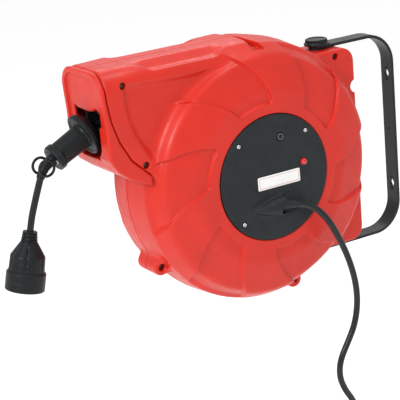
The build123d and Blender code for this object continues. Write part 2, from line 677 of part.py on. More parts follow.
roller_half = GUIDE["y"] - GUIDE_SIDE - 0.5
for name, height in (("top_roller", flat_z + ROLLER_AXIS), ("bottom_roller", flat_z - ROLLER_AXIS)):
    with BuildPart() as flat_roller:
        with BuildSketch(side(roller_half)):
            with Locations((FLAT_X, height)):
                Circle(ROLLER_R)
                Circle(ROLLER_PIN_R + RUNNING, mode=Mode.SUBTRACT)
        extrude(amount=2 * roller_half)
    keep(flat_roller.part, name)

upright_low = GUIDE["z"][0] + GUIDE_LID + 0.5
for name, across in (("near_roller", ROLLER_AXIS), ("far_roller", -ROLLER_AXIS)):
    with BuildPart() as upright_roller:
        with BuildSketch(Plane.XY.offset(upright_low)):
            with Locations((UPRIGHT_X, across)):
                Circle(ROLLER_R)
                Circle(ROLLER_PIN_R + RUNNING, mode=Mode.SUBTRACT)
        extrude(amount=guide_high - 2 * GUIDE_LID - 1)
    keep(upright_roller.part, name)

# ---------------------------------------------------------------- stop on the cable
STOP = tilted(kink, STOP_TILT)
along = STOP.z_dir


def stop_point(distance):
    """A point on the stop's axis, as (x, y, z)."""
    return tuple(kink + along * distance)


BELL_BACK, FLANGE_BACK, FLANGE_FACE, BODY_END, COLLAR_END = 8.0, 20.0, 25.5, 62.5, 72.0
STOP_FLANGE_R, STOP_R, STOP_END_R, STOP_COLLAR_R = 27.0, 15.6, 14.6, 19.0
CLAMP_Y, CLAMP_HEAD_R, CLAMP_HEAD_H = 13.2, 2.4, 1.6
keep(
    turned(
        STOP,
        [
            (5, BELL_BACK),
            (13, BELL_BACK),
            (22, 13),
            (STOP_FLANGE_R - 1, FLANGE_BACK),
            (STOP_FLANGE_R, FLANGE_BACK + 1),
            (STOP_FLANGE_R, FLANGE_FACE - 1),
            (STOP_FLANGE_R - 1, FLANGE_FACE),
            (STOP_R, FLANGE_FACE + 1.5),
            (STOP_END_R, BODY_END),
            (CABLE_D / 2, BODY_END),
            (CABLE_D / 2, 14),
            (5, 14),
        ],
    ),
    "stop_buffer",
)
keep(
    turned(
        STOP,
        [
            (CABLE_D / 2, BODY_END),
            (STOP_COLLAR_R - 1.5, BODY_END),
            (STOP_COLLAR_R, BODY_END + 1.5),
            (STOP_COLLAR_R, COLLAR_END - 1.5),
            (STOP_COLLAR_R - 1.5, COLLAR_END),
            (CABLE_D / 2, COLLAR_END),
        ],
    ),
    "stop_collar",
)

# The elbow leads the cable out of the stop and down, along the outlet cord's first run.
ELBOW_R = 6.2
outlet_start = Vector(*OUTLET_ROUTE[0])
outlet_way = (Vector(*OUTLET_ROUTE[1]) - outlet_start).normalized()
corner_reach = (outlet_start - kink).cross(outlet_way).Y / along.cross(outlet_way).Y
elbow_route = [stop_point(COLLAR_END), stop_point(corner_reach), OUTLET_ROUTE[0]]
with BuildPart() as stop_elbow:
    with BuildLine() as elbow_path:
        FilletPolyline(*elbow_route, radius=arc_radii(elbow_route))
    with BuildSketch(Plane(origin=elbow_path.line @ 0, z_dir=elbow_path.line % 0)):
        Circle(ELBOW_R)
    sweep()
keep(stop_elbow.part, "stop_elbow")

# Two screws clamp the collar, one each side of the cable.
with BuildPart() as clamp_screws:
    with BuildSketch(tilted(stop_point(COLLAR_END), STOP_TILT)):
        with Locations((-CLAMP_Y, 0), (CLAMP_Y, 0)):
            Circle(CLAMP_HEAD_R)
    extrude(amount=CLAMP_HEAD_H)
keep(clamp_screws.part, "clamp_screws")

# Two eyes flank the cable below the collar.
EYE_R, EYE_WIRE_R, EYE_Y = 9.6, 1.7, 8.9
eye_centre = stop_point(COLLAR_END + EYE_R + EYE_WIRE_R + 3.0)
with BuildPart() as cord_eyes:
    for across in (EYE_Y, -EYE_Y):
        middle = (eye_centre[0], across, eye_centre[2])
        with BuildSketch(Plane(origin=middle, x_dir=(1, 0, 0), z_dir=(0, 0, 1))):
            with Locations((EYE_R, 0)):
                Circle(EYE_WIRE_R)
        revolve(axis=Axis(middle, (0, 1, 0)))
        with BuildSketch(tilted(kink + along * COLLAR_END + Vector(0, across, 0), STOP_TILT)):
            Rectangle(3.0, 6.0)
        extrude(amount=3.6)
keep(cord_eyes.part, "cord_eyes")

# The cable inside the housing: a straight run from the winding, then the kink into the stop.
run_start = leave + pull * 1.0
kink_radii = arc_radii([tuple(run_start), tuple(kink), stop_point(24.0)])
with BuildPart() as cable_run:
    with BuildLine() as run_path:
        FilletPolyline(tuple(run_start), tuple(kink), stop_point(COLLAR_END), radius=kink_radii)
    with BuildSketch(Plane(origin=run_path.line @ 0, z_dir=run_path.line % 0)):
        Circle(CABLE_D / 2)
    sweep()
keep(cable_run.part, "cable_run")

# ---------------------------------------------------------------- outlet cord and its socket
keep(cord_tube(OUTLET_ROUTE, CABLE_D, "outlet_cord"), "outlet_cord")

outlet_end = Vector(*OUTLET_ROUTE[-1])
SOCKET = Plane(origin=outlet_end, x_dir=(0, 1, 0), z_dir=outlet_end - Vector(*OUTLET_ROUTE[-2]))
BOOT_END, CONE_END, BODY_FACE, COLLAR_FACE = 13.0, 30.0, 49.5, 72.0
RECESS_DEPTH, RECESS_R = 17.0, 19.6
RIBS, RIB_R, RIB_GROOVE_R = 4, 9.6, 7.6
CONE_R, BODY_R, COLLAR_R = 21.1, 21.8, 24.2
PIN_SPACING, PIN_R = 19.0, 2.4
RIB_PITCH = BOOT_END / RIBS
boot_outline = [(0, 0)]
for rib in range(RIBS):
    low = rib * RIB_PITCH
    boot_outline += [(RIB_GROOVE_R, low), (RIB_GROOVE_R, low + 1.2)]
    boot_outline += [(RIB_R, low + 1.6), (RIB_R, low + RIB_PITCH)]
boot_outline += [(CONE_R, CONE_END), (BODY_R, BODY_FACE), (0, BODY_FACE)]
keep(turned(SOCKET, boot_outline), "socket_body")
recess_floor = COLLAR_FACE - RECESS_DEPTH
keep(
    turned(
        SOCKET,
        [
            (RECESS_R + 0.9, BODY_FACE),
            (COLLAR_R - 1, BODY_FACE),
            (COLLAR_R, BODY_FACE + 1.2),
            (COLLAR_R, COLLAR_FACE - 0.8),
            (COLLAR_R - 0.8, COLLAR_FACE),
            (RECESS_R + 0.9, COLLAR_FACE),
        ],
    ),
    "socket_collar",
)
insert_plane = SOCKET.offset(BODY_FACE)
recess_plane = SOCKET.offset(recess_floor)
with BuildPart() as socket_insert:
    with BuildSketch(insert_plane):
        Circle(RECESS_R + 0.85)
    extrude(amount=COLLAR_FACE - BODY_FACE - 0.5)
    with BuildSketch(recess_plane):
        Circle(RECESS_R - 0.6)
    extrude(amount=RECESS_DEPTH, mode=Mode.SUBTRACT)
    with BuildSketch(recess_plane):
        with Locations((-PIN_SPACING / 2, 0), (PIN_SPACING / 2, 0), (0, PIN_SPACING / 2)):
            Circle(PIN_R + 0.1)
    extrude(amount=-(recess_floor - BODY_FACE), mode=Mode.SUBTRACT)
keep(socket_insert.part, "socket_insert")

with BuildPart() as socket_contacts:
    with BuildSketch(insert_plane):
        with Locations((-PIN_SPACING / 2, 0), (PIN_SPACING / 2, 0)):
            Circle(PIN_R + 0.05)
            Circle(PIN_R - 0.3, mode=Mode.SUBTRACT)
    extrude(amount=recess_floor - BODY_FACE - 0.4)
keep(socket_contacts.part, "socket_contacts")

with BuildPart() as earth_pin:
    with BuildSketch(insert_plane):
        with Locations((0, PIN_SPACING / 2)):
            Circle(PIN_R)
    extrude(amount=recess_floor - BODY_FACE + RECESS_DEPTH - 3)
keep(earth_pin.part, "earth_pin")

# ---------------------------------------------------------------- supply cord, coil and plug
keep(cord_tube(SUPPLY_ROUTE, CABLE_D, "supply_cord"), "supply_cord")

# The tied coil: a closed ring of the turns' outer shape, about an axis along Y.
coil_half_width = (COIL_TURNS + 1) * CABLE_D / 2
with BuildPart() as supply_coil:
    with BuildSketch(Plane(origin=COIL_CENTRE, x_dir=(1, 0, 0), z_dir=(0, 0, 1))):
        with Locations((COIL_R, 0)):
            RectangleRounded(CABLE_D + 0.6, 2 * coil_half_width, 4.0)
    revolve(axis=Axis(COIL_CENTRE, (0, 1, 0)))
keep(supply_coil.part, "supply_coil")

tie_centre = (COIL_CENTRE[0], COIL_CENTRE[1], COIL_CENTRE[2] + COIL_R)
with BuildPart() as coil_tie:
    with BuildSketch(Plane(origin=tie_centre, x_dir=(0, 1, 0), z_dir=(1, 0, 0))):
        RectangleRounded(2 * coil_half_width + 4.4, CABLE_D + 5.0, 5.5)
        RectangleRounded(2 * coil_half_width + 1.2, CABLE_D + 1.8, 4.4, mode=Mode.SUBTRACT)
    extrude(amount=2.4, both=True)
keep(coil_tie.part, "coil_tie")

tail_x = COIL_CENTRE[0] - COIL_R
tail_y = COIL_CENTRE[1] - COIL_TURNS * CABLE_D / 2
tail_top = (tail_x, tail_y, COIL_CENTRE[2] - 27.0)
tail_low = (tail_x, tail_y, COIL_CENTRE[2] - 27.0 - TAIL_LENGTH)
with BuildPart() as supply_tail:
    with BuildSketch(Plane(origin=tail_top, x_dir=(0, 1, 0), z_dir=(0, 0, -1))):
        Circle(CABLE_D / 2)
    extrude(amount=TAIL_LENGTH)
keep(supply_tail.part, "supply_tail")

PLUG = Plane(origin=tail_low, x_dir=(0, 1, 0), z_dir=(0, 0, -1))
PLUG_BODY_END, PLUG_R, PIN_LENGTH = 46.0, 18.5, 19.0
keep(
    turned(
        PLUG,
        [
            (0, 0),
            (6, 0),
            (8, 14),
            (PLUG_R - 1, 22),
            (PLUG_R, 26),
            (PLUG_R, PLUG_BODY_END),
            (0, PLUG_BODY_END),
        ],
    ),
    "plug_body",
)
with BuildPart() as plug_pins:
    with BuildSketch(PLUG.offset(PLUG_BODY_END)):
        with Locations((-PIN_SPACING / 2, 0), (PIN_SPACING / 2, 0)):
            Circle(PIN_R)
    extrude(amount=PIN_LENGTH)
keep(plug_pins.part, "plug_pins")

# ---------------------------------------------------------------- wall bracket and pivots
plate_back = -AXLE_OUT
plate_middle = -AXLE_UP
with BuildPart() as wall_bracket:
    with BuildSketch(side(STRAP_WIDTH / 2)):
        with BuildLine():
            FilletPolyline(
                (PIVOT_X, STRAP_TOP),
                (plate_back, STRAP_TOP),
                (plate_back, STRAP_BOTTOM),
                (PIVOT_X, STRAP_BOTTOM),
                radius=STRAP_BEND,
            )
            Line((PIVOT_X, STRAP_BOTTOM), (PIVOT_X, STRAP_BOTTOM + STRAP_T))
            FilletPolyline(
                (PIVOT_X, STRAP_BOTTOM + STRAP_T),
                (plate_back + STRAP_T, STRAP_BOTTOM + STRAP_T),
                (plate_back + STRAP_T, STRAP_TOP - STRAP_T),
                (PIVOT_X, STRAP_TOP - STRAP_T),
                radius=STRAP_BEND - STRAP_T,
            )
            Line((PIVOT_X, STRAP_TOP - STRAP_T), (PIVOT_X, STRAP_TOP))
        make_face()
    extrude(amount=STRAP_WIDTH)
    for low in (STRAP_TOP - STRAP_T, STRAP_BOTTOM):
        with BuildSketch(Plane.XY.offset(low)):
            with Locations((PIVOT_X, 0)):
                Circle(STRAP_WIDTH / 2)
        extrude(amount=STRAP_T)
        with BuildSketch(Plane.XY.offset(low)):
            with Locations((PIVOT_X, 0)):
                Circle(PIVOT_R)
        extrude(amount=STRAP_T, mode=Mode.SUBTRACT)
    with BuildSketch(Plane.YZ.offset(plate_back)):
        with Locations((0, plate_middle + SLOT_SPACING / 2), (0, plate_middle - SLOT_SPACING / 2)):
            SlotOverall(SLOT_LENGTH, SLOT_WIDTH, rotation=90)
            Circle(SLOT_EYE_R)
        with Locations((0, plate_middle)):
            Circle(1.5)
    extrude(amount=STRAP_T, mode=Mode.SUBTRACT)
keep(wall_bracket.part, "wall_bracket")

# Each arm's pivot: a bolt through the strap into a bush in the housing. A gripped knob caps the top
# bolt and a low round head the bottom one.
pivot_tips = [(STRAP_TOP, BLOCK_TOP, 1), (STRAP_BOTTOM, BLOCK_BOTTOM, -1)]
with BuildPart() as pivot_bolts:
    for outside, block_face, up in pivot_tips:
        with BuildSketch(Plane.XY.offset(outside)):
            with Locations((PIVOT_X, 0)):
                Circle(PIVOT_R)
        extrude(amount=-up * (abs(outside - block_face) + PIVOT_DEPTH - 1.5))
keep(pivot_bolts.part, "pivot_bolts")

caps = [
    (STRAP_TOP, 1, KNOB_FLANGE_R, KNOB_FLANGE_T, KNOB_R, KNOB_H),
    (STRAP_BOTTOM, -1, HEAD_FLANGE_R, HEAD_FLANGE_T, HEAD_R, HEAD_H),
]
with BuildPart() as pivot_caps:
    for outside, up, flange_r, flange_t, cap_r, cap_h in caps:
        with BuildSketch(Plane.XY.offset(outside)):
            with Locations((PIVOT_X, 0)):
                Circle(flange_r)
        extrude(amount=up * flange_t)
        with BuildSketch(Plane.XY.offset(outside + up * flange_t)):
            with Locations((PIVOT_X, 0)):
                Circle(cap_r)
        extrude(amount=up * cap_h)
keep(pivot_caps.part, "pivot_caps")

with BuildPart() as pivot_bushes:
    for outside, block_face, up in pivot_tips:
        flange_t = abs(outside - block_face) - STRAP_T - STRAP_PLAY
        with BuildSketch(Plane.XY.offset(block_face)):
            with Locations((PIVOT_X, 0)):
                Circle(BUSH_FLANGE_R)
        extrude(amount=up * flange_t)
        with BuildSketch(Plane.XY.offset(block_face)):
            with Locations((PIVOT_X, 0)):
                Circle(BUSH_R)
        extrude(amount=-up * BUSH_LENGTH)
        with BuildSketch(Plane.XY.offset(block_face + up * flange_t)):
            with Locations((PIVOT_X, 0)):
                Circle(PIVOT_R + RUNNING)
        extrude(amount=-up * (flange_t + BUSH_LENGTH), mode=Mode.SUBTRACT)
keep(pivot_bushes.part, "pivot_bushes")

print("pull per radian of the spool, mm:", round(EXIT_R, 2), "pull at 80 degrees:", round(PULL_LENGTH, 2))
print("kink", [round(v, 2) for v in tuple(kink)], "leave", [round(v, 2) for v in tuple(leave)])
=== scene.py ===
"""Looks of a wall-mounted, spring-retracting cable reel, on the frame that its CAD model sets."""

import json
from collections import namedtuple
from math import cos, pi, radians, sin, sqrt, tan

import bmesh
import bpy
import numpy as np
import openvdb as vdb
from mathutils import Matrix, Vector


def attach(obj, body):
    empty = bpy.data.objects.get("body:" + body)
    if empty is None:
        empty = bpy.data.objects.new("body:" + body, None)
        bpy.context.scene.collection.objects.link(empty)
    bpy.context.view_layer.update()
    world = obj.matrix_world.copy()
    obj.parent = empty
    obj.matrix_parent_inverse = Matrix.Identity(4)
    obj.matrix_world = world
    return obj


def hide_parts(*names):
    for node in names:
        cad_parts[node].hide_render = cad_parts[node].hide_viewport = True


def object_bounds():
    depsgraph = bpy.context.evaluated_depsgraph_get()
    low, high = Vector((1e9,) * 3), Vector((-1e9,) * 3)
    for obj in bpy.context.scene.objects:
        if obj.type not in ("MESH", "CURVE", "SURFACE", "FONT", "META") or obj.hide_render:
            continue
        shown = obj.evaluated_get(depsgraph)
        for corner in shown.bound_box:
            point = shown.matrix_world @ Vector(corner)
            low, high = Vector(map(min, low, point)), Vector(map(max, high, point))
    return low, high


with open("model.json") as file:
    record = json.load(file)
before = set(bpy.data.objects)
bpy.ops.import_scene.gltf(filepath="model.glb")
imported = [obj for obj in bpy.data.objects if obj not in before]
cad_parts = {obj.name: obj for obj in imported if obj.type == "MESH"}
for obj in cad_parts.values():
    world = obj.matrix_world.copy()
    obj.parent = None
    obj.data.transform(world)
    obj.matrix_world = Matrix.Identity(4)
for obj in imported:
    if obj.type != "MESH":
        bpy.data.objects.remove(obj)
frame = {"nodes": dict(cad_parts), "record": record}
cad_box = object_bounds()

# The reel's own frame, in millimetres: the spool's axis is Y through its origin. This is where that
# origin lies in the row frame.
AXLE = (246.0, 0.0, 2.0)
MM = 0.001


def row(x, y, z):
    """A point of the reel's frame, in the row frame and in metres."""
    return ((x + AXLE[0]) * MM, (y + AXLE[1]) * MM, (z + AXLE[2]) * MM)


# ---------------------------------------------------------------- camera and lights
AZIMUTH, ELEVATION, ROLL = 149.18, 17.39, 5.03
CAMERA_AT = row(1030.8, 1618.4, 559.4)
LENS = 140.5
SKY, FLOOR_HALF, FLOOR_DROP, FLOOR_GLOW = 0.78, 6.0, 0.12, 0.25


def add_camera():
    a, e = radians(AZIMUTH), radians(ELEVATION)
    back = Vector((sin(a) * cos(e), -cos(a) * cos(e), sin(e)))
    turn = back.to_track_quat("Z", "Y").to_matrix().to_4x4()
    data = bpy.data.cameras.new("camera")
    data.lens = LENS
    data.clip_end = 20
    camera = bpy.data.objects.new("camera", data)
    bpy.context.collection.objects.link(camera)
    camera.matrix_world = Matrix.Translation(CAMERA_AT) @ turn @ Matrix.Rotation(radians(-ROLL), 4, "Z")
    bpy.context.scene.camera = camera


def add_light(name, at, target, size, power):
    data = bpy.data.lights.new(name, "AREA")
    data.shape = "DISK"
    data.size = size
    data.energy = power
    lamp = bpy.data.objects.new(name, data)
    bpy.context.collection.objects.link(lamp)
    lamp.location = at
    lamp.rotation_euler = (Vector(target) - Vector(at)).to_track_quat("-Z", "Y").to_euler()


def add_studio():
    world = bpy.data.worlds.new("studio")
    world.use_nodes = True
    sky = world.node_tree.nodes["Background"]
    sky.inputs["Color"].default_value = (1, 1, 1, 1)
    sky.inputs["Strength"].default_value = SKY
    bpy.context.scene.world = world
    bpy.context.scene.view_settings.view_transform = "Standard"
    middle = row(0, 0, 0)
    add_light("key", (2.3, 0.8, 1.3), middle, 0.6, 32)
    add_light("top", (-0.1, 0.4, 2.2), middle, 0.8, 12)
    add_light("rim", (-0.5, -1.2, 1.4), middle, 0.8, 5)
    mesh = bpy.data.meshes.new("floor")
    half, low = FLOOR_HALF, cad_box[0][2] - FLOOR_DROP
    corners = [(-half, -half, low), (half, -half, low), (half, half, low), (-half, half, low)]
    mesh.from_pydata(corners, [], [(0, 1, 2, 3)])
    floor = bpy.data.objects.new("floor", mesh)
    bpy.context.collection.objects.link(floor)
    mesh.materials.append(plain_white())


def plain_white():
    mat = bpy.data.materials.new("floor_white")
    mat.use_nodes = True
    shader = mat.node_tree.nodes["Principled BSDF"]
    shader.inputs["Base Color"].default_value = (0.90, 0.90, 0.90, 1)
    shader.inputs["Emission Color"].default_value = (1, 1, 1, 1)
    shader.inputs["Emission Strength"].default_value = FLOOR_GLOW
    shader.inputs["Roughness"].default_value = 0.9
    return mat


# ---------------------------------------------------------------- materials
NOISE_LOW, NOISE_HIGH, RELIEF_DEPTH = 0.3, 0.7, 0.0002


def surface(
    name, colour, rough, metal=0.0, vary=0.06, vary_size=0.03, grain=0.0004, bump=0.12, coat=0.0,
    rough_vary=0.08, scratch=0.0, sheen=0.0, gloss=0.5,
):
    """A procedural material: colour and roughness vary slowly, and a fine grain raises the surface."""
    mat = bpy.data.materials.new(name)
    mat.use_nodes = True
    tree = mat.node_tree
    shader = tree.nodes["Principled BSDF"]
    shader.inputs["Metallic"].default_value = metal
    shader.inputs["Specular IOR Level"].default_value = gloss
    shader.inputs["Coat Weight"].default_value = coat
    shader.inputs["Coat Roughness"].default_value = 0.12
    if sheen:
        shader.inputs["Sheen Weight"].default_value = sheen
        shader.inputs["Sheen Roughness"].default_value = 0.4
    place = tree.nodes.new("ShaderNodeTexCoord")

    def noise(size, detail=3.0, stretch=None):
        node = tree.nodes.new("ShaderNodeTexNoise")
        node.inputs["Scale"].default_value = 1 / size
        node.inputs["Detail"].default_value = detail
        source = place.outputs["Object"]
        if stretch:
            squeeze = tree.nodes.new("ShaderNodeMapping")
            squeeze.inputs["Scale"].default_value = stretch
            tree.links.new(source, squeeze.inputs["Vector"])
            source = squeeze.outputs["Vector"]
        tree.links.new(source, node.inputs["Vector"])
        return node.outputs["Fac"]

    def spread(source, low, high):
        node = tree.nodes.new("ShaderNodeMapRange")
        node.inputs["From Min"].default_value = NOISE_LOW
        node.inputs["From Max"].default_value = NOISE_HIGH
        node.inputs["To Min"].default_value = low
        node.inputs["To Max"].default_value = high
        tree.links.new(source, node.inputs["Value"])
        return node.outputs["Result"]

    tint = tree.nodes.new("ShaderNodeMix")
    tint.data_type = "RGBA"
    tint.inputs["A"].default_value = [c * (1 - vary) for c in colour] + [1]
    tint.inputs["B"].default_value = [min(1, c * (1 + vary)) for c in colour] + [1]
    tree.links.new(spread(noise(vary_size), 0, 1), tint.inputs["Factor"])
    tree.links.new(tint.outputs["Result"], shader.inputs["Base Color"])
    low, high = max(0.03, rough - rough_vary), min(1, rough + rough_vary)
    tree.links.new(spread(noise(vary_size * 0.4, 5.0), low, high), shader.inputs["Roughness"])
    relief = tree.nodes.new("ShaderNodeBump")
    relief.inputs["Strength"].default_value = bump
    relief.inputs["Distance"].default_value = RELIEF_DEPTH
    tree.links.new(noise(grain, 2.0), relief.inputs["Height"])
    last = relief
    if scratch:
        lines = tree.nodes.new("ShaderNodeBump")
        lines.inputs["Strength"].default_value = scratch
        lines.inputs["Distance"].default_value = RELIEF_DEPTH
        tree.links.new(noise(0.0012, 4.0, (0.04, 1.0, 1.0)), lines.inputs["Height"])
        tree.links.new(relief.outputs["Normal"], lines.inputs["Normal"])
        last = lines
    tree.links.new(last.outputs["Normal"], shader.inputs["Normal"])
    return mat


MATERIALS = {
    "red_plastic": surface(
        "red_plastic", (0.59, 0.017, 0.006), 0.42, vary=0.05, grain=0.0006, bump=0.10, coat=0.05, gloss=0.36,
    ),
    "black_plastic": surface("black_plastic", (0.007, 0.011, 0.013), 0.55, vary=0.18, bump=0.25, gloss=0.34),
    "bracket_paint": surface(
        "bracket_paint", (0.006, 0.007, 0.008), 0.38,
        vary=0.15, grain=0.0009, bump=0.22, coat=0.05, gloss=0.3,
    ),
    "cap_plastic": surface("cap_plastic", (0.005, 0.006, 0.007), 0.36, vary=0.15, bump=0.15, gloss=0.3),
    "zinc_steel": surface("zinc_steel", (0.50, 0.50, 0.47), 0.34, metal=1.0, scratch=0.3),
    "dark_steel": surface("dark_steel", (0.13, 0.07, 0.05), 0.45, metal=0.8, vary=0.2),
    "chrome_steel": surface(
        "chrome_steel", (0.55, 0.56, 0.56), 0.20, metal=1.0, rough_vary=0.05, scratch=0.1,
    ),
    "plate_white": surface("plate_white", (0.84, 0.84, 0.82), 0.35, vary=0.02, coat=0.2),
    "lamp_red": surface(
        "lamp_red", (0.55, 0.008, 0.003), 0.12, vary=0.12, vary_size=0.004, coat=0.6, rough_vary=0.05,
    ),
    "button_grey": surface("button_grey", (0.075, 0.062, 0.066), 0.45, vary=0.1),
    "cable_black": surface(
        "cable_black", (0.005, 0.007, 0.008), 0.30, vary=0.2, grain=0.0008, bump=0.14, sheen=0.02, gloss=0.36,
    ),
    "tie_black": surface("tie_black", (0.010, 0.010, 0.010), 0.7, vary=0.2, grain=0.0005, bump=0.6),
    "bush_polymer": surface("bush_polymer", (0.008, 0.008, 0.009), 0.4, gloss=0.3),
    "spool_plastic": surface("spool_plastic", (0.008, 0.008, 0.009), 0.5, vary=0.12, gloss=0.3),
    "spring_steel": surface("spring_steel", (0.25, 0.27, 0.32), 0.3, metal=1.0, scratch=0.3),
    "brass": surface("brass", (0.72, 0.52, 0.22), 0.24, metal=1.0, scratch=0.2),
    "brush_copper": surface("brush_copper", (0.30, 0.16, 0.10), 0.5, metal=0.7),
    "stop_rubber": surface(
        "stop_rubber", (0.005, 0.007, 0.008), 0.48, vary=0.2, grain=0.0007, bump=0.3, gloss=0.26,
    ),
    "socket_rubber": surface(
        "socket_rubber", (0.004, 0.006, 0.007), 0.44, vary=0.2, grain=0.0007, bump=0.3, gloss=0.26,
    ),
    "insert_plastic": surface("insert_plastic", (0.012, 0.012, 0.013), 0.4, vary=0.15),
}


def finish_cad_nodes():
    """Every CAD node that shows keeps its shape and takes its slot's material."""
    for part in frame["record"]["subparts"]:
        node = frame["nodes"][part["node"]]
        node.data.materials.clear()
        node.data.materials.append(MATERIALS[part["material_slot"]])


def piece(name, mesh, body, slot, replaces=()):
    """Add a mesh as a piece that rides on a body, in its slot's material, for the nodes it stands for."""
    made = bpy.data.objects.new(name, mesh)
    bpy.context.collection.objects.link(made)
    mesh.materials.clear()
    mesh.materials.append(MATERIALS[slot])
    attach(made, body)
    if replaces:
        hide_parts(*replaces)
    return made


# ---------------------------------------------------------------- cords
CABLE = 8.3
OUTLET_ROUTE = [
    (281.0, 0, 49.1),
    (287.4, 0, 33.6),
    (294.0, 0, 16.4),
    (299.6, 0, 1.0),
    (302.8, 0, -12.6),
]
SUPPLY_ROUTE = [
    (-11.0, 87.0, -35.0),
    (-23.8, 89.5, -36.5),
    (-37.5, 92.5, -41.5),
    (-50.5, 96.0, -51.5),
    (-62.4, 99.0, -68.0),
    (-75.3, 101.5, -95.0),
    (-87.0, 103.0, -126.0),
    (-94.5, 103.5, -157.5),
    (-95.0, 104.0, -186.5),
    (-88.5, 104.0, -214.0),
    (-75.5, 104.0, -235.5),
    (-62.5, 104.0, -255.5),
    (-59.0, 104.0, -277.0),
    (-66.0, 104.0, -298.0),
    (-78.0, 104.0, -316.5),
    (-85.0, 104.0, -335.0),
    (-86.5, 104.0, -353.0),
]
COIL_R, COIL_TURNS, POINTS_PER_TURN = 46.0, 2, 16
COIL_DROP, TAIL_LENGTH = 27.0, 24.0
COIL_X, COIL_Y, COIL_Z = SUPPLY_ROUTE[-1][0] + COIL_R, 104.0, SUPPLY_ROUTE[-1][2] - COIL_DROP
TAIL_END = (COIL_X - COIL_R, COIL_Y - COIL_TURNS * CABLE / 2, COIL_Z - COIL_DROP - TAIL_LENGTH)


def cord_curve(name, points, diameter):
    data = bpy.data.curves.new(name, "CURVE")
    data.dimensions = "3D"
    data.bevel_depth = diameter / 2 * MM
    data.bevel_resolution = 8
    data.resolution_u = 12
    data.use_fill_caps = True
    spline = data.splines.new("NURBS")
    spline.points.add(len(points) - 1)
    for point, at in zip(spline.points, points):
        point.co = (*row(*at), 1)
    spline.order_u = 3
    spline.use_endpoint_u = True
    data.materials.append(MATERIALS["cable_black"])
    made = bpy.data.objects.new(name, data)
    bpy.context.collection.objects.link(made)
    return made


def spline_length(cord):
    """The length of a curve object's centreline, in metres."""
    data = cord.data.copy()
    data.bevel_depth = 0
    line = bpy.data.objects.new("measure", data)
    mesh = bpy.data.meshes.new_from_object(line)
    at = [v.co.copy() for v in mesh.vertices]
    bpy.data.objects.remove(line)
    return sum((b - a).length for a, b in zip(at, at[1:]))


def supply_points():
    """The supply cord's route, its coil's turns side by side, and the tail down to the plug."""
    points = list(SUPPLY_ROUTE[:-1])
    pitch = CABLE + 0.2
    steps = POINTS_PER_TURN * COIL_TURNS
    reach = COIL_R / cos(pi / POINTS_PER_TURN) * 0.995
    for step in range(steps + 1):
        turned = 2 * pi * step / POINTS_PER_TURN
        across = COIL_Y + pitch * (COIL_TURNS / 2 - step / POINTS_PER_TURN)
        points.append((COIL_X - reach * cos(turned), across, COIL_Z - reach * sin(turned)))
    points.append(TAIL_END)
    return points


def add_cords(socket_pieces, plug_pieces):
    outlet = cord_curve("outlet_cord_smooth", OUTLET_ROUTE, CABLE)
    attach(outlet, "stop_and_socket")
    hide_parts("outlet_cord")
    spline_length(outlet)
    supply = cord_curve("supply_cord_smooth", supply_points(), CABLE)
    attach(supply, "housing")
    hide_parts("supply_cord", "supply_coil", "supply_tail")
    length = spline_length(supply)


# ---------------------------------------------------------------- shapes as distance fields
def polygon_distance(u, v, outline):
    """Signed distance from the points (u, v) to a closed outline, negative inside it."""
    nearest = np.full(u.shape, 1e9, np.float32)
    inside = np.zeros(u.shape, bool)
    for (au, av), (bu, bv) in zip(outline, outline[1:] + outline[:1]):
        eu, ev = bu - au, bv - av
        t = np.clip(((u - au) * eu + (v - av) * ev) / (eu * eu + ev * ev), 0, 1)
        nearest = np.minimum(nearest, (u - au - t * eu) ** 2 + (v - av - t * ev) ** 2)
        if ev:
            inside ^= ((av > v) != (bv > v)) & (u < au + (v - av) * eu / ev)
    return np.where(inside, -1, 1).astype(np.float32) * np.sqrt(nearest)


def rounded(outline, radii, steps=7):
    """The outline with each corner rounded by an arc of its radius."""
    points = []
    count = len(outline)
    for i, radius in enumerate(radii):
        corner = Vector(outline[i])
        before = (Vector(outline[i - 1]) - corner).normalized()
        after = (Vector(outline[(i + 1) % count]) - corner).normalized()
        if radius <= 0:
            points.append(tuple(corner))
            continue
        half = before.angle(after) / 2
        centre = corner + (before + after).normalized() * (radius / sin(half))
        start = corner + before * (radius / tan(half)) - centre
        end = corner + after * (radius / tan(half)) - centre
        sweep = start.angle_signed(end)
        for step in range(steps + 1):
            spin = Matrix.Rotation(-sweep * step / steps, 2)
            points.append(tuple(centre + spin @ start))
    return points


def soft_min(a, b, k):
    h = np.maximum(k - np.abs(a - b), 0) / k
    return np.minimum(a, b) - h * h * k / 4


def soft_max(a, b, k):
    return -soft_min(-a, -b, k)


def ramp(value, low, high):
    """0 below low, 1 above high and a smooth step between."""
    t = np.clip((value - low) / (high - low), 0, 1)
    return t * t * (3 - 2 * t)


def rise_at(value, low, high):
    """The same step for one number."""
    return float(ramp(np.float32(value), low, high))


def slab(flat, height, half, edge):
    """An outline's distance extruded to a half height, with its edges rounded."""
    a = flat + edge
    b = abs(height) - half + edge
    return np.minimum(np.maximum(a, b), 0) + np.hypot(np.maximum(a, 0), max(b, 0)) - edge


FAR_OUTSIDE = 10.0


def mesh_from_field(name, field, origin, voxel):
    """The closed zero surface of a distance field that is sampled on a grid, shaded smooth."""
    grid = vdb.FloatGrid(background=FAR_OUTSIDE)
    grid.copyFromArray(np.ascontiguousarray(field))
    points, triangles, quads = grid.convertToPolygons(isovalue=0.0, adaptivity=0.0)
    mesh = bpy.data.meshes.new(name)
    corners = points * voxel + np.array(origin)
    metres = (corners + np.array(AXLE)) * MM
    mesh.from_pydata(metres.tolist(), [], quads[:, ::-1].tolist() + triangles[:, ::-1].tolist())
    mesh.shade_smooth()
    mesh.update()
    return mesh


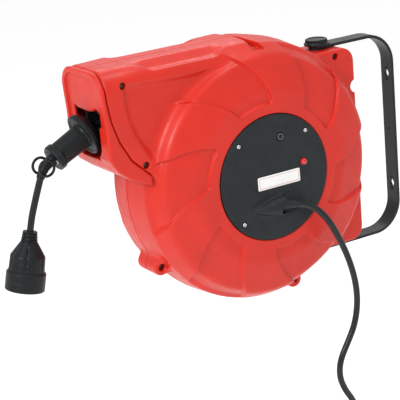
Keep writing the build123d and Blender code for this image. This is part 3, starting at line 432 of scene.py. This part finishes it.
# ---------------------------------------------------------------- housing shells
WALL, DRUM_REACH = 4.0, 330
FLUTE_DEPTH, SIDE_DEPTH, POCKET_DEPTH = 9.5, 3.7, 7.0
DRUM_PROFILE = rounded(
    [(0, 75.3), (111, 75.3), (152, 64.0), (164.5, 40.0), (168, 0), (0, 0)],
    [0, 34, 15, 14, 0, 0],
)
NOSE_FRONT = [(210, 168), (209, 134), (205, 108), (197, 83), (183, 57), (157, 32), (132, 10)]
FRAME_FRONT = [(217, 168), (215, 134), (213.5, 110), (212.5, 62), (203, 46), (186, 33), (146, 14)]
NOSE_HALF, FRAME_HALF, NOSE_TOP = 50.0, 51.0, 168.0
NOSE_ROUND, FRAME_ROUND = 22.0, 28.0
MOUTH = [
    (-32, 72), (-32, 119), (-24, 116), (4, 115), (15, 117),
    (23, 121), (30, 117), (30, 72), (20, 58), (-22, 58),
]
BLOCK = rounded([(-80, 128.8), (-168, 128.8), (-168, -132.8), (-80, -132.8)], [0, 18, 18, 0])
BLOCK_HALF = 28.0
NOTCH = (-169.0, 76.0, 8.5)
LUGS = [(141.0, -96.0), (-56.0, -165.0)]
LUG_R, LUG_HALF = 11.0, 22.0
SHELL_SCREWS = [
    (185.0, 148.0, NOSE_HALF),
    (164.0, 47.0, NOSE_HALF),
    (-139.0, 120.0, BLOCK_HALF),
    (-116.0, -122.0, BLOCK_HALF),
    (LUGS[0][0], LUGS[0][1], LUG_HALF),
    (LUGS[1][0], LUGS[1][1], LUG_HALF),
]
# The raised fan on each flank: six sunk panels, swept round as they go out over the shoulder.
PANELS, PANEL_FIRST, PANEL_HALF, PANEL_IN = 6, 78.0, 15.6, 94.0
PANEL_SWEEP, PANEL_DEPTH = 15.0, 4.0
# The nose's sunk side panel.
SIDE_PANEL = [
    (187, 151), (187, 130), (184, 106), (177, 86), (166, 66), (153, 47), (100, 20),
    (0, 60), (0, 146), (50, 147), (100, 146), (140, 147), (165, 150),
]


def fan_mask(r, theta):
    """1 inside the sunk panels of the fan and 0 on the raised ones, by polar place on the flank."""
    sweep = PANEL_SWEEP * np.clip((r - PANEL_IN) / 60, 0, 1.4) ** 1.3
    pitch = 360.0 / PANELS
    angle = (np.degrees(theta) + sweep - PANEL_FIRST + pitch / 2) % pitch - pitch / 2
    inside = np.radians(PANEL_HALF - np.abs(angle)) * r
    depth = soft_min(inside, r - PANEL_IN, 5.0)
    return ramp(depth, -0.7, 0.9)


# What is the same at every height: the grid, and the outlines' distances and masks over it.
Plan = namedtuple("Plan", "X Z r fan nose block panel")


def drum_distance(r, height):
    """Distance to the drum, which is turned from its profile, at a height from the parting plane."""
    reach = np.arange(0, DRUM_REACH, 1.0, dtype=np.float32)
    line = polygon_distance(reach, np.full_like(reach, height), DRUM_PROFILE)
    return np.interp(r, reach, line)


def housing_form(plan, y):
    """The housing's outer form at height y, with its surface relief."""
    X, Z = plan.X, plan.Z
    height = abs(y)
    plain = drum_distance(plan.r, height).astype(np.float32)
    sunk = PANEL_DEPTH * rise_at(height, 37, 44)
    drum = plain + sunk * plan.fan if sunk else plain
    # The nose: its side outline, crossed with an arched section, with a flute along each top edge.
    edge = NOSE_ROUND + (FRAME_ROUND - NOSE_ROUND) * ramp(X, 160, 205)
    section = np.hypot(np.maximum(height - NOSE_HALF + edge, 0), np.maximum(Z - NOSE_TOP + edge, 0))
    arch = np.maximum(section - edge, height - NOSE_HALF)
    flute = FLUTE_DEPTH * ramp(X, 28, 55) * (1 - ramp(X, 138, 168)) * rise_at(height, 17, 37)
    side = SIDE_DEPTH * plan.panel * rise_at(height, 30, 44)
    nose = soft_max(plan.nose, np.maximum(arch + side, Z - NOSE_TOP + flute), 4.0)
    block = slab(plan.block, height, BLOCK_HALF, 3.0)
    form = soft_min(soft_min(drum, nose, 7.0), block, 9.0)
    for x, z in LUGS:
        lug = slab(np.hypot(X - x, Z - z) - LUG_R, height, LUG_HALF, 3.0)
        form = soft_min(form, lug, 10.0)
    return form


def top_pocket(X, Z, y):
    """The narrow pocket that widens down the near shoulder from the top of the drum."""
    down = (y - 6) / 44
    width = 4.0 + 5.0 * down
    return np.maximum(np.abs(X + 3.5 + 2.5 * down) - width, np.maximum(100 - Z, abs(y - 28) - 24))


def shell_field(near, xs, ys, zs):
    X, Z = np.meshgrid(xs, zs, indexing="ij")
    r = np.hypot(X, Z)
    fan = fan_mask(r, np.arctan2(Z, X))
    nose = polygon_distance(X, Z, [(0, 190), (210, 190)] + NOSE_FRONT + [(0, 10)])
    panel = 1 - ramp(polygon_distance(X, Z, SIDE_PANEL), -8.0, 2.0)
    plan = Plan(X, Z, r, fan, nose, polygon_distance(X, Z, BLOCK), panel)
    notch = np.hypot(X - NOTCH[0], Z - NOTCH[1]) - NOTCH[2]
    front = soft_max(170 - X, np.abs(Z - 92) - 35, 1.0)
    field = np.empty((len(xs), len(ys), len(zs)), np.float32)
    for j, y in enumerate(ys):
        form = housing_form(plan, y)
        pocket = np.maximum(top_pocket(X, Z, y), -(form + POCKET_DEPTH))
        form = np.maximum(form, -notch)
        hollow = np.maximum(form + WALL, -(notch - WALL))
        hollow = np.maximum(hollow, -(pocket - WALL))
        form = soft_max(form, -pocket, 1.5)
        if near:
            land = np.maximum(np.maximum(r - 90, 64 - r), 66 - y)
            hollow = np.maximum(hollow, -land)
            form = np.maximum(form, -np.maximum(r - 80.7, 71.6 - y))
            form = np.maximum(form, -np.maximum(r - 64, 50 - y))
            for x, z, face in SHELL_SCREWS:
                hole = np.hypot(X - x, Z - z)
                boss = np.maximum(hole - 7.0, y - face)
                hollow = np.maximum(hollow, -boss)
                mouth = min(max(0, y - face + 1.2), 1.2)
                sink = np.maximum(hole - 4.3 - mouth, face - 8 - y)
                form = np.maximum(form, -sink)
        form = np.maximum(form, -hollow)
        form = np.maximum(form, -np.maximum(front, abs(y) - 44))
        field[:, j, :] = np.maximum(form, 0.22 - y)
    return field


def add_shell(near):
    voxel = 1.0 if near else 1.5
    xs = np.arange(-174, 216, voxel, dtype=np.float32)
    ys = np.arange(-3, 80, voxel, dtype=np.float32)
    zs = np.arange(-188, 174, voxel, dtype=np.float32)
    field = shell_field(near, xs, ys, zs)
    name = "near_shell" if near else "far_shell"
    mesh = mesh_from_field(name, field, (xs[0], ys[0], zs[0]), voxel)
    if not near:
        mesh.transform(Matrix.Diagonal((1, -1, 1, 1)))
        mesh.flip_normals()
    piece(name, mesh, "housing", "red_plastic", ["near_housing" if near else "far_housing"])


def add_mouth_frame():
    voxel = 0.9
    xs = np.arange(128, 222, voxel, dtype=np.float32)
    ys = np.arange(-56, 57, voxel, dtype=np.float32)
    zs = np.arange(6, 174, voxel, dtype=np.float32)
    X, Z = np.meshgrid(xs, zs, indexing="ij")
    behind = [(x + 0.8, z) for x, z in NOSE_FRONT]
    band = polygon_distance(X, Z, behind[:-1] + [(158, 24)] + FRAME_FRONT[::-1])
    front = polygon_distance(X, Z, [(0, 190), (217, 190)] + FRAME_FRONT + [(0, 14)])
    r = np.hypot(X, Z)
    field = np.empty((len(xs), len(ys), len(zs)), np.float32)
    for j, y in enumerate(ys):
        height = abs(y)
        drum = drum_distance(r, height)
        rise = np.maximum(Z - NOSE_TOP + FRAME_ROUND, 0)
        section = np.hypot(np.maximum(height - FRAME_HALF + FRAME_ROUND, 0), rise)
        arch = np.maximum(section - FRAME_ROUND, height - FRAME_HALF)
        form = soft_max(soft_max(band, arch, 3.5), -drum + 0.3, 1.0)
        sunk = np.maximum(np.maximum(arch + 8, 100 - Z), -(front + 3.0))
        form = soft_max(form, -sunk, 1.8)
        hole = polygon_distance(np.full_like(Z, y), Z, MOUTH)
        form = soft_max(form, -hole, 2.5)
        field[:, j, :] = form
    mesh = mesh_from_field("front_frame", field, (xs[0], ys[0], zs[0]), voxel)
    piece("front_frame", mesh, "housing", "red_plastic", ["mouth_frame"])


# ---------------------------------------------------------------- turned pieces, tubes and small heads
def facing(origin, direction, across=(0, 1, 0)):
    """A place whose Z axis points along a direction and whose X axis is across it."""
    z = Vector(direction).normalized()
    x = (Vector(across) - z * z.dot(Vector(across))).normalized()
    turn = Matrix((x, z.cross(x), z)).transposed().to_4x4()
    return Matrix.Translation(origin) @ turn


SHARP = radians(38)


def finished(name, points, faces):
    """A mesh from points in the reel's frame, with its faces outwards and its sharp edges kept."""
    mesh = bpy.data.meshes.new(name)
    mesh.from_pydata([row(*p) for p in points], [], faces)
    work = bmesh.new()
    work.from_mesh(mesh)
    bmesh.ops.recalc_face_normals(work, faces=work.faces)
    work.to_mesh(mesh)
    work.free()
    mesh.shade_smooth()
    mesh.set_sharp_from_angle(angle=SHARP)
    return mesh


def joined(name, meshes):
    """One smooth mesh of several, which are removed."""
    work = bmesh.new()
    for one in meshes:
        work.from_mesh(one)
        bpy.data.meshes.remove(one)
    mesh = bpy.data.meshes.new(name)
    work.to_mesh(mesh)
    work.free()
    mesh.shade_smooth()
    return mesh


def divided(outline, step):
    """The outline with points added so that none are further apart than the step."""
    points = []
    for (ar, al), (br, bl) in zip(outline, outline[1:]):
        count = max(1, round(sqrt((br - ar) ** 2 + (bl - al) ** 2) / step))
        points += [(ar + (br - ar) * i / count, al + (bl - al) * i / count) for i in range(count)]
    return points + [outline[-1]]


def spun(name, outline, place, form=None, around=96, step=1.0, ring=False):
    """A turned piece. The outline is (radius, distance along the axis); form changes the radius."""
    line = divided(outline + outline[:1] if ring else outline, step)
    if ring:
        line.pop()
    points, rings, faces = [], [], []
    for radius, along in line:
        if radius < 1e-6:
            rings.append([len(points)] * around)
            points.append(place @ Vector((0, 0, along)))
            continue
        rings.append(list(range(len(points), len(points) + around)))
        for i in range(around):
            angle = 2 * pi * i / around
            r = form(radius, along, angle) if form else radius
            points.append(place @ Vector((r * cos(angle), r * sin(angle), along)))
    for a, b in zip(rings, rings[1:] + rings[:1] if ring else rings[1:]):
        for i in range(around):
            j = (i + 1) % around
            corners = list(dict.fromkeys((a[i], a[j], b[j], b[i])))
            if len(corners) > 2:
                faces.append(corners)
    return finished(name, points, faces)


def tube(name, path, radii, around=32):
    """A closed tube with a radius at each point of its path."""
    points, faces = [], []
    across = Vector((0, 1, 0))
    for i, (at, radius) in enumerate(zip(path, radii)):
        way = Vector(path[min(i + 1, len(path) - 1)]) - Vector(path[max(i - 1, 0)])
        place = facing(at, way, across)
        across = place.col[0].to_3d()
        for k in range(around):
            angle = 2 * pi * k / around
            points.append(place @ Vector((radius * cos(angle), radius * sin(angle), 0)))
    for i in range(len(path) - 1):
        for k in range(around):
            m = (k + 1) % around
            faces.append([i * around + k, i * around + m, (i + 1) * around + m, (i + 1) * around + k])
    faces.append(list(range(around)))
    faces.append(list(range(len(points) - around, len(points))))
    return finished(name, points, faces)


def arc_path(start, corner, end, count):
    """Points along the smooth curve from start to end that bends at the corner."""
    a, b, c = Vector(start), Vector(corner), Vector(end)
    steps = [i / count for i in range(count + 1)]
    return [a * (1 - t) ** 2 + b * 2 * t * (1 - t) + c * t**2 for t in steps]


# ---------------------------------------------------------------- stop, socket and plug
STOP_TILT = radians(25.5)
STOP_WAY = Vector((cos(STOP_TILT), 0, -sin(STOP_TILT)))
KINK = Vector((198.0, 0, 97.84))
STOP_BODY_END, STOP_COLLAR_END = 62.5, 72.0


def stop_surface(radius, along, angle):
    """Ribs and long sunk panels on the stop's barrel."""
    if not 30 < along < 59 or radius < 12:
        return radius
    fade = rise_at(along, 30, 32) * (1 - rise_at(along, 57, 59))
    turn = (angle / (2 * pi) * 8) % 1
    return radius - 0.55 * (1 - rise_at(abs(turn - 0.5), 0.12, 0.17)) * fade


def collar_surface(radius, along, angle):
    """Two ears for the clamp screws, at the ends of the collar's Y axis."""
    if radius < 12:
        return radius
    return radius - 2.4 * rise_at(abs(sin(angle)), 0.30, 0.75)


def add_stop():
    place = facing(KINK, STOP_WAY)
    bell = rounded(
        [(4.5, 9), (13, 8), (21.5, 12.5), (26.8, 19.5), (27, 25.5), (23.5, 25.5), (22.6, 24.3), (16.6, 24.3),
         (15.6, 27), (14.8, 61), (14.0, 62.4), (4.5, 62.4)],
        [0, 2, 5, 2.5, 1.4, 0.6, 0.6, 0.9, 0.4, 0.6, 0.6, 0], 4,
    )
    body = spun("stop_body", bell, place, stop_surface, ring=True)
    piece("stop_body", body, "stop_and_socket", "stop_rubber", ["stop_buffer"])
    ring = rounded(
        [(4.6, STOP_BODY_END), (19, STOP_BODY_END), (19, 71.6), (4.6, 71.6)],
        [0, 1.6, 2.2, 0], 5,
    )
    collar = spun("stop_clamp", ring, place, collar_surface, ring=True)
    piece("stop_clamp", collar, "stop_and_socket", "stop_rubber", ["stop_collar"])
    start = KINK + STOP_WAY * (STOP_COLLAR_END - 0.6)
    first, second = Vector(OUTLET_ROUTE[0]), Vector(OUTLET_ROUTE[1])
    way = (second - first).normalized()
    corner = KINK + STOP_WAY * ((first - KINK).cross(way).y / STOP_WAY.cross(way).y)
    path = arc_path(start, corner, first + way * 1.5, 48)
    ribs = [6.9 - 1.9 * i / 48 - (0.5 if 2 < i < 30 and i % 6 < 2 else 0) for i in range(49)]
    piece("stop_neck", tube("stop_neck", path, ribs), "stop_and_socket", "stop_rubber", ["stop_elbow"])


BOOT_END, CONE_END, BODY_FACE, COLLAR_FACE = 13.0, 30.0, 49.5, 72.0
RECESS_R = 19.6


def socket_surface(radius, along, angle):
    """Half ribs that alternate on the boot, then grip grooves that open out down the body."""
    if radius < 4.5:
        return radius
    if along < BOOT_END:
        side = 0.5 if cos(angle) > 0 else 0.0
        wave = sin(2 * pi * (along / 3.1 + side))
        return radius - 1.25 * rise_at(wave, -0.2, 0.5) * rise_at(along, 0.4, 1.2)
    if along < BODY_FACE and radius > 9:
        open_out = rise_at(along, BOOT_END + 1, BOOT_END + 8)
        shut = 1 - rise_at(along, BODY_FACE - 6, BODY_FACE - 2)
        turn = (angle / (2 * pi) * 6) % 1
        groove = 1 - rise_at(abs(turn - 0.5), 0.02, 0.085)
        flat = 0.5 * (1 - cos(6 * angle)) if along < CONE_END + 8 else 0
        return radius - 1.3 * groove * open_out * shut - 0.5 * flat * open_out * shut
    return radius


def add_socket():
    first, end = Vector(OUTLET_ROUTE[-2]), Vector(OUTLET_ROUTE[-1])
    place = facing(end, end - first)
    outline = rounded(
        [(0, 0), (8.9, 0), (10.3, BOOT_END), (21.1, CONE_END), (21.8, BODY_FACE), (0, BODY_FACE)],
        [0, 1.2, 1.5, 4.0, 0.8, 0], 5,
    )
    body = piece(
        "socket_grip", spun("socket_grip", outline, place, socket_surface, step=0.5),
        "stop_and_socket", "socket_rubber", ["socket_body"],
    )
    sleeve = rounded(
        [(RECESS_R + 1, BODY_FACE), (22.2, BODY_FACE - 1.6), (24.1, BODY_FACE + 1.2), (24.2, BODY_FACE + 11),
         (23.9, BODY_FACE + 11.5), (24.1, BODY_FACE + 12), (24.1, COLLAR_FACE), (RECESS_R + 1, COLLAR_FACE)],
        [0, 0.4, 0.8, 0.15, 0.15, 0.15, 1.4, 0.8], 4,
    )
    collar = piece(
        "socket_sleeve", spun("socket_sleeve", sleeve, place, ring=True, step=0.8),
        "stop_and_socket", "socket_rubber", ["socket_collar"],
    )
    return [body, collar]


def plug_surface(radius, along, angle):
    """Grip grooves round the plug's body, and ribs on its boot."""
    if along < 13 and radius > 4.5:
        wave = sin(2 * pi * along / 3.2)
        return radius - 0.9 * rise_at(wave, -0.2, 0.5)
    if 24 < along < 42 and radius > 12:
        turn = (angle / (2 * pi) * 10) % 1
        return radius - 1 + rise_at(abs(turn - 0.5), 0.05, 0.16)
    return radius


def add_plug():
    place = facing(TAIL_END, (0, 0, -1))
    outline = rounded(
        [(0, 0), (6.6, 0), (8.2, 14), (17.3, 23), (18.4, 44), (16.5, 46), (0, 46)],
        [0, 1, 3, 5, 1.5, 0.8, 0], 5,
    )
    body = spun("plug_grip", outline, place, plug_surface, step=0.7)
    return piece("plug_grip", body, "housing", "socket_rubber", ["plug_body"])


# ---------------------------------------------------------------- side cover and what is on it
COVER_R, COVER_SEAT, COVER_FACE, COVER_EDGE = 79.8, 71.6, 76.6, 1.2
BUMP_TIP, BUMP_MOUTH, BUMP_Z, BUMP_HALF, BUMP_HIGH = 35.0, -8.0, -37.0, 12.5, 16.0
COVER_SCREWS = [(50.0, 50.0), (-50.0, 50.0), (50.0, -50.0), (-50.0, -50.0)]
BUTTON, LAMP, PLATE = (-12.0, 50.0), (-44.0, 11.0), (-5.5, -4.0)


def add_side_cover():
    voxel = 0.7
    xs = np.arange(-83, 83, voxel, dtype=np.float32)
    ys = np.arange(69, 97, voxel, dtype=np.float32)
    zs = np.arange(-83, 83, voxel, dtype=np.float32)
    X, Z = np.meshgrid(xs, zs, indexing="ij")
    r = np.hypot(X, Z)
    field = np.empty((len(xs), len(ys), len(zs)), np.float32)
    along = np.clip((BUMP_TIP - X) / (BUMP_TIP - BUMP_MOUTH), 0, 1)
    rise = np.sin(along * pi / 2) ** 0.8
    for j, y in enumerate(ys):
        disc = np.maximum(r - COVER_R + COVER_EDGE, y - COVER_FACE + COVER_EDGE)
        flat = np.hypot(np.maximum(r - COVER_R + COVER_EDGE, 0), max(y - COVER_FACE + COVER_EDGE, 0))
        form = np.where(disc > 0, flat, disc) - COVER_EDGE
        lift = np.hypot((Z - BUMP_Z) / (BUMP_HALF * rise + 0.4), (y - COVER_FACE) / (BUMP_HIGH * rise + 0.4))
        bump = (lift - 1) * (BUMP_HALF * rise + 0.4) * 0.8
        bump = np.maximum(np.maximum(bump, BUMP_MOUTH - X), X - BUMP_TIP)
        form = soft_min(form, bump, 3.0)
        across = np.hypot(Z - BUMP_Z, (y - COVER_FACE - 10) * 0.9)
        form = np.maximum(form, -np.maximum(across - 8.2, X - BUMP_MOUTH - 9))
        dish = np.sqrt(((X + 16) / 24) ** 2 + ((Z - BUMP_Z) / 14) ** 2 + ((y - COVER_FACE - 1) / 5) ** 2)
        scoop = (dish - 1) * 5
        form = soft_max(form, -np.maximum(scoop, X - BUMP_MOUTH), 0.8)
        form = np.maximum(form, -(np.hypot(X - BUTTON[0], Z - BUTTON[1]) - 5.4))
        field[:, j, :] = np.maximum(form, COVER_SEAT - y)
    mesh = mesh_from_field("cover_disc", field, (xs[0], ys[0], zs[0]), voxel)
    piece("cover_disc", mesh, "housing", "black_plastic", ["side_cover"])


def small_head(radius, height, recess):
    """A pan head with a cross recess, as a field about its seat's centre, and that field's origin."""
    voxel = 0.3
    span = np.arange(-radius - 0.9, radius + 1.2, voxel, dtype=np.float32)
    ys = np.arange(-1.2, height + 0.9, voxel, dtype=np.float32)
    X, Y, Z = np.meshgrid(span, ys, span, indexing="ij")
    ball = (radius**2 + height**2) / (2 * height)
    dome = np.sqrt(X**2 + (Y - height + ball) ** 2 + Z**2) - ball
    form = soft_max(np.maximum(dome, -0.6 - Y), np.hypot(X, Z) - radius, 0.6)
    bar = np.maximum(np.maximum(np.abs(X) - recess, np.abs(Z) - 0.55), height - 1.2 - Y)
    cross = np.minimum(bar, np.maximum(np.maximum(np.abs(Z) - recess, np.abs(X) - 0.55), height - 1.2 - Y))
    return np.maximum(form, -cross), (span[0], ys[0], span[0]), voxel


def add_heads(name, spots, radius, height, slot, node):
    """A cross-recessed head at each (x, seat y, z), as one piece."""
    field, origin, voxel = small_head(radius, height, radius * 0.62)
    heads = []
    for i, spot in enumerate(spots):
        at = [a + b for a, b in zip(origin, spot)]
        one = mesh_from_field(name, field, at, voxel)
        middle = Vector(row(*spot))
        spin = Matrix.Translation(middle) @ Matrix.Rotation(radians(23 + 37 * i), 4, "Y")
        one.transform(spin @ Matrix.Translation(-middle))
        heads.append(one)
    piece(name, joined(name, heads), "housing", slot, [node])


def add_cover_fittings():
    outwards = (0, 1, 0)
    lens = rounded([(0, -3), (4.5, -3), (4.5, 1.4), (3.0, 4.2), (0, 4.8)], [0, 0, 1.4, 2.6, 0], 6)
    place = facing((LAMP[0], COVER_FACE, LAMP[1]), outwards, (1, 0, 0))
    piece("lamp_lens", spun("lamp_lens", lens, place, step=0.5), "housing", "lamp_red", ["pilot_lamp"])
    ring = rounded(
        [(0, -6), (4.6, -6), (4.6, 1.0), (3.2, 1.4), (2.6, -0.2), (0, -0.2)],
        [0, 0, 0.5, 0.4, 0.4, 0], 4,
    )
    place = facing((BUTTON[0], COVER_FACE, BUTTON[1]), outwards, (1, 0, 0))
    cap = spun("button_cap", ring, place, step=0.4)
    piece("button_cap", cap, "reset_button", "button_grey", ["reset_button"])
    core = rounded([(0, -0.5), (2.3, -0.5), (2.3, 0.2), (0, 0.5)], [0, 0, 0.3, 0], 4)
    piece("button_core", spun("button_core", core, place, step=0.4), "reset_button", "black_plastic")
    seats = [(x, COVER_FACE, z) for x, z in COVER_SCREWS]
    add_heads("cover_heads", seats, 2.9, 1.9, "chrome_steel", "cover_screws")
    sunk = [(x, face - 6.0, z) for x, z, face in SHELL_SCREWS]
    add_heads("shell_heads", sunk, 3.9, 1.8, "dark_steel", "shell_screws")


PLATE_LONG, PLATE_HIGH, PLATE_THICK, PLATE_ROUND = 63.0, 17.0, 0.9, 1.5
LINE_IN, LINE_HALF = 2.1, 0.28


def add_plate():
    """The blank name plate, and the thin printed line round it."""
    voxel = 0.3
    xs = np.arange(PLATE[0] - PLATE_LONG / 2 - 1, PLATE[0] + PLATE_LONG / 2 + 1, voxel, dtype=np.float32)
    ys = np.arange(COVER_FACE - 0.9, COVER_FACE + 2, voxel, dtype=np.float32)
    zs = np.arange(PLATE[1] - PLATE_HIGH / 2 - 1, PLATE[1] + PLATE_HIGH / 2 + 1, voxel, dtype=np.float32)
    X, Z = np.meshgrid(xs, zs, indexing="ij")
    near_x = np.abs(X - PLATE[0]) - PLATE_LONG / 2 + PLATE_ROUND
    near_z = np.abs(Z - PLATE[1]) - PLATE_HIGH / 2 + PLATE_ROUND
    corner = np.hypot(np.maximum(near_x, 0), np.maximum(near_z, 0))
    edge = corner + np.minimum(np.maximum(near_x, near_z), 0) - PLATE_ROUND
    top = COVER_FACE + PLATE_THICK
    plate = np.stack([np.maximum(edge, max(y - top, COVER_FACE - 0.3 - y)) for y in ys], axis=1)
    line = np.abs(edge + LINE_IN) - LINE_HALF
    border = np.stack([np.maximum(line, max(y - top - 0.12, top - 0.4 - y)) for y in ys], axis=1)
    start = (xs[0], ys[0], zs[0])
    blank = mesh_from_field("plate_blank", plate, start, voxel)
    piece("plate_blank", blank, "housing", "plate_white", ["name_plate"])
    piece("plate_line", mesh_from_field("plate_line", border, start, voxel), "housing", "red_plastic")


def add_relief():
    """The ribbed sleeve that holds the supply cord where it leaves the cover's bump."""
    first, second = Vector(SUPPLY_ROUTE[0]), Vector(SUPPLY_ROUTE[1])
    way = (second - first).normalized()
    path = arc_path(first - way * 16, first + way * 2, first + way * 12 + Vector((0, 0, -0.8)), 40)
    radii = [5.9 - 1.2 * max(0, i - 14) / 26 - (0.4 if i > 20 and i % 6 < 2 else 0) for i in range(41)]
    sleeve = tube("cord_sleeve", path, radii)
    return piece("cord_sleeve", sleeve, "housing", "black_plastic", ["strain_relief"])


# ---------------------------------------------------------------- pivot knobs
PIVOT_X, STRAP_TOP, STRAP_BOTTOM = -130.0, 134.0, -141.0


def knob_surface(radius, along, angle):
    """Fine grip flutes round the knob's rim."""
    if radius < 13.5 or not 3.4 < along < 7.2:
        return radius
    return radius - 0.35 * (1 + cos(40 * angle))


def add_knobs():
    """A gripped knob over the top pivot bolt and a low round head over the bottom one."""
    knob = rounded(
        [(0, 0), (16.4, 0), (16.4, 2.8), (14.6, 3.0), (14.4, 8.0), (11.0, 8.0), (10.4, 7.2), (0, 7.2)],
        [0, 0.4, 1.0, 0.3, 1.4, 0.3, 0.3, 0], 4,
    )
    head = rounded([(0, 0), (8.0, 0), (8.0, 1.0), (6.0, 2.4), (0, 2.5)], [0, 0.2, 0.5, 1.2, 0], 4)
    caps = []
    for outline, level, up in ((knob, STRAP_TOP, 1), (head, STRAP_BOTTOM, -1)):
        place = facing((PIVOT_X, 0, level), (0, 0, up), (1, 0, 0))
        caps.append(spun("knob", outline, place, knob_surface, around=160, step=0.8))
    mesh = joined("knobs", caps)
    mesh.set_sharp_from_angle(angle=SHARP)
    piece("knobs", mesh, "bracket", "cap_plastic", ["pivot_caps"])


# ---------------------------------------------------------------- making
finish_cad_nodes()
add_camera()
add_studio()
add_cords(add_socket(), [add_plug(), add_relief()])
add_stop()
add_side_cover()
add_cover_fittings()
add_plate()
add_knobs()
add_shell(True)
add_shell(False)
add_mouth_frame()
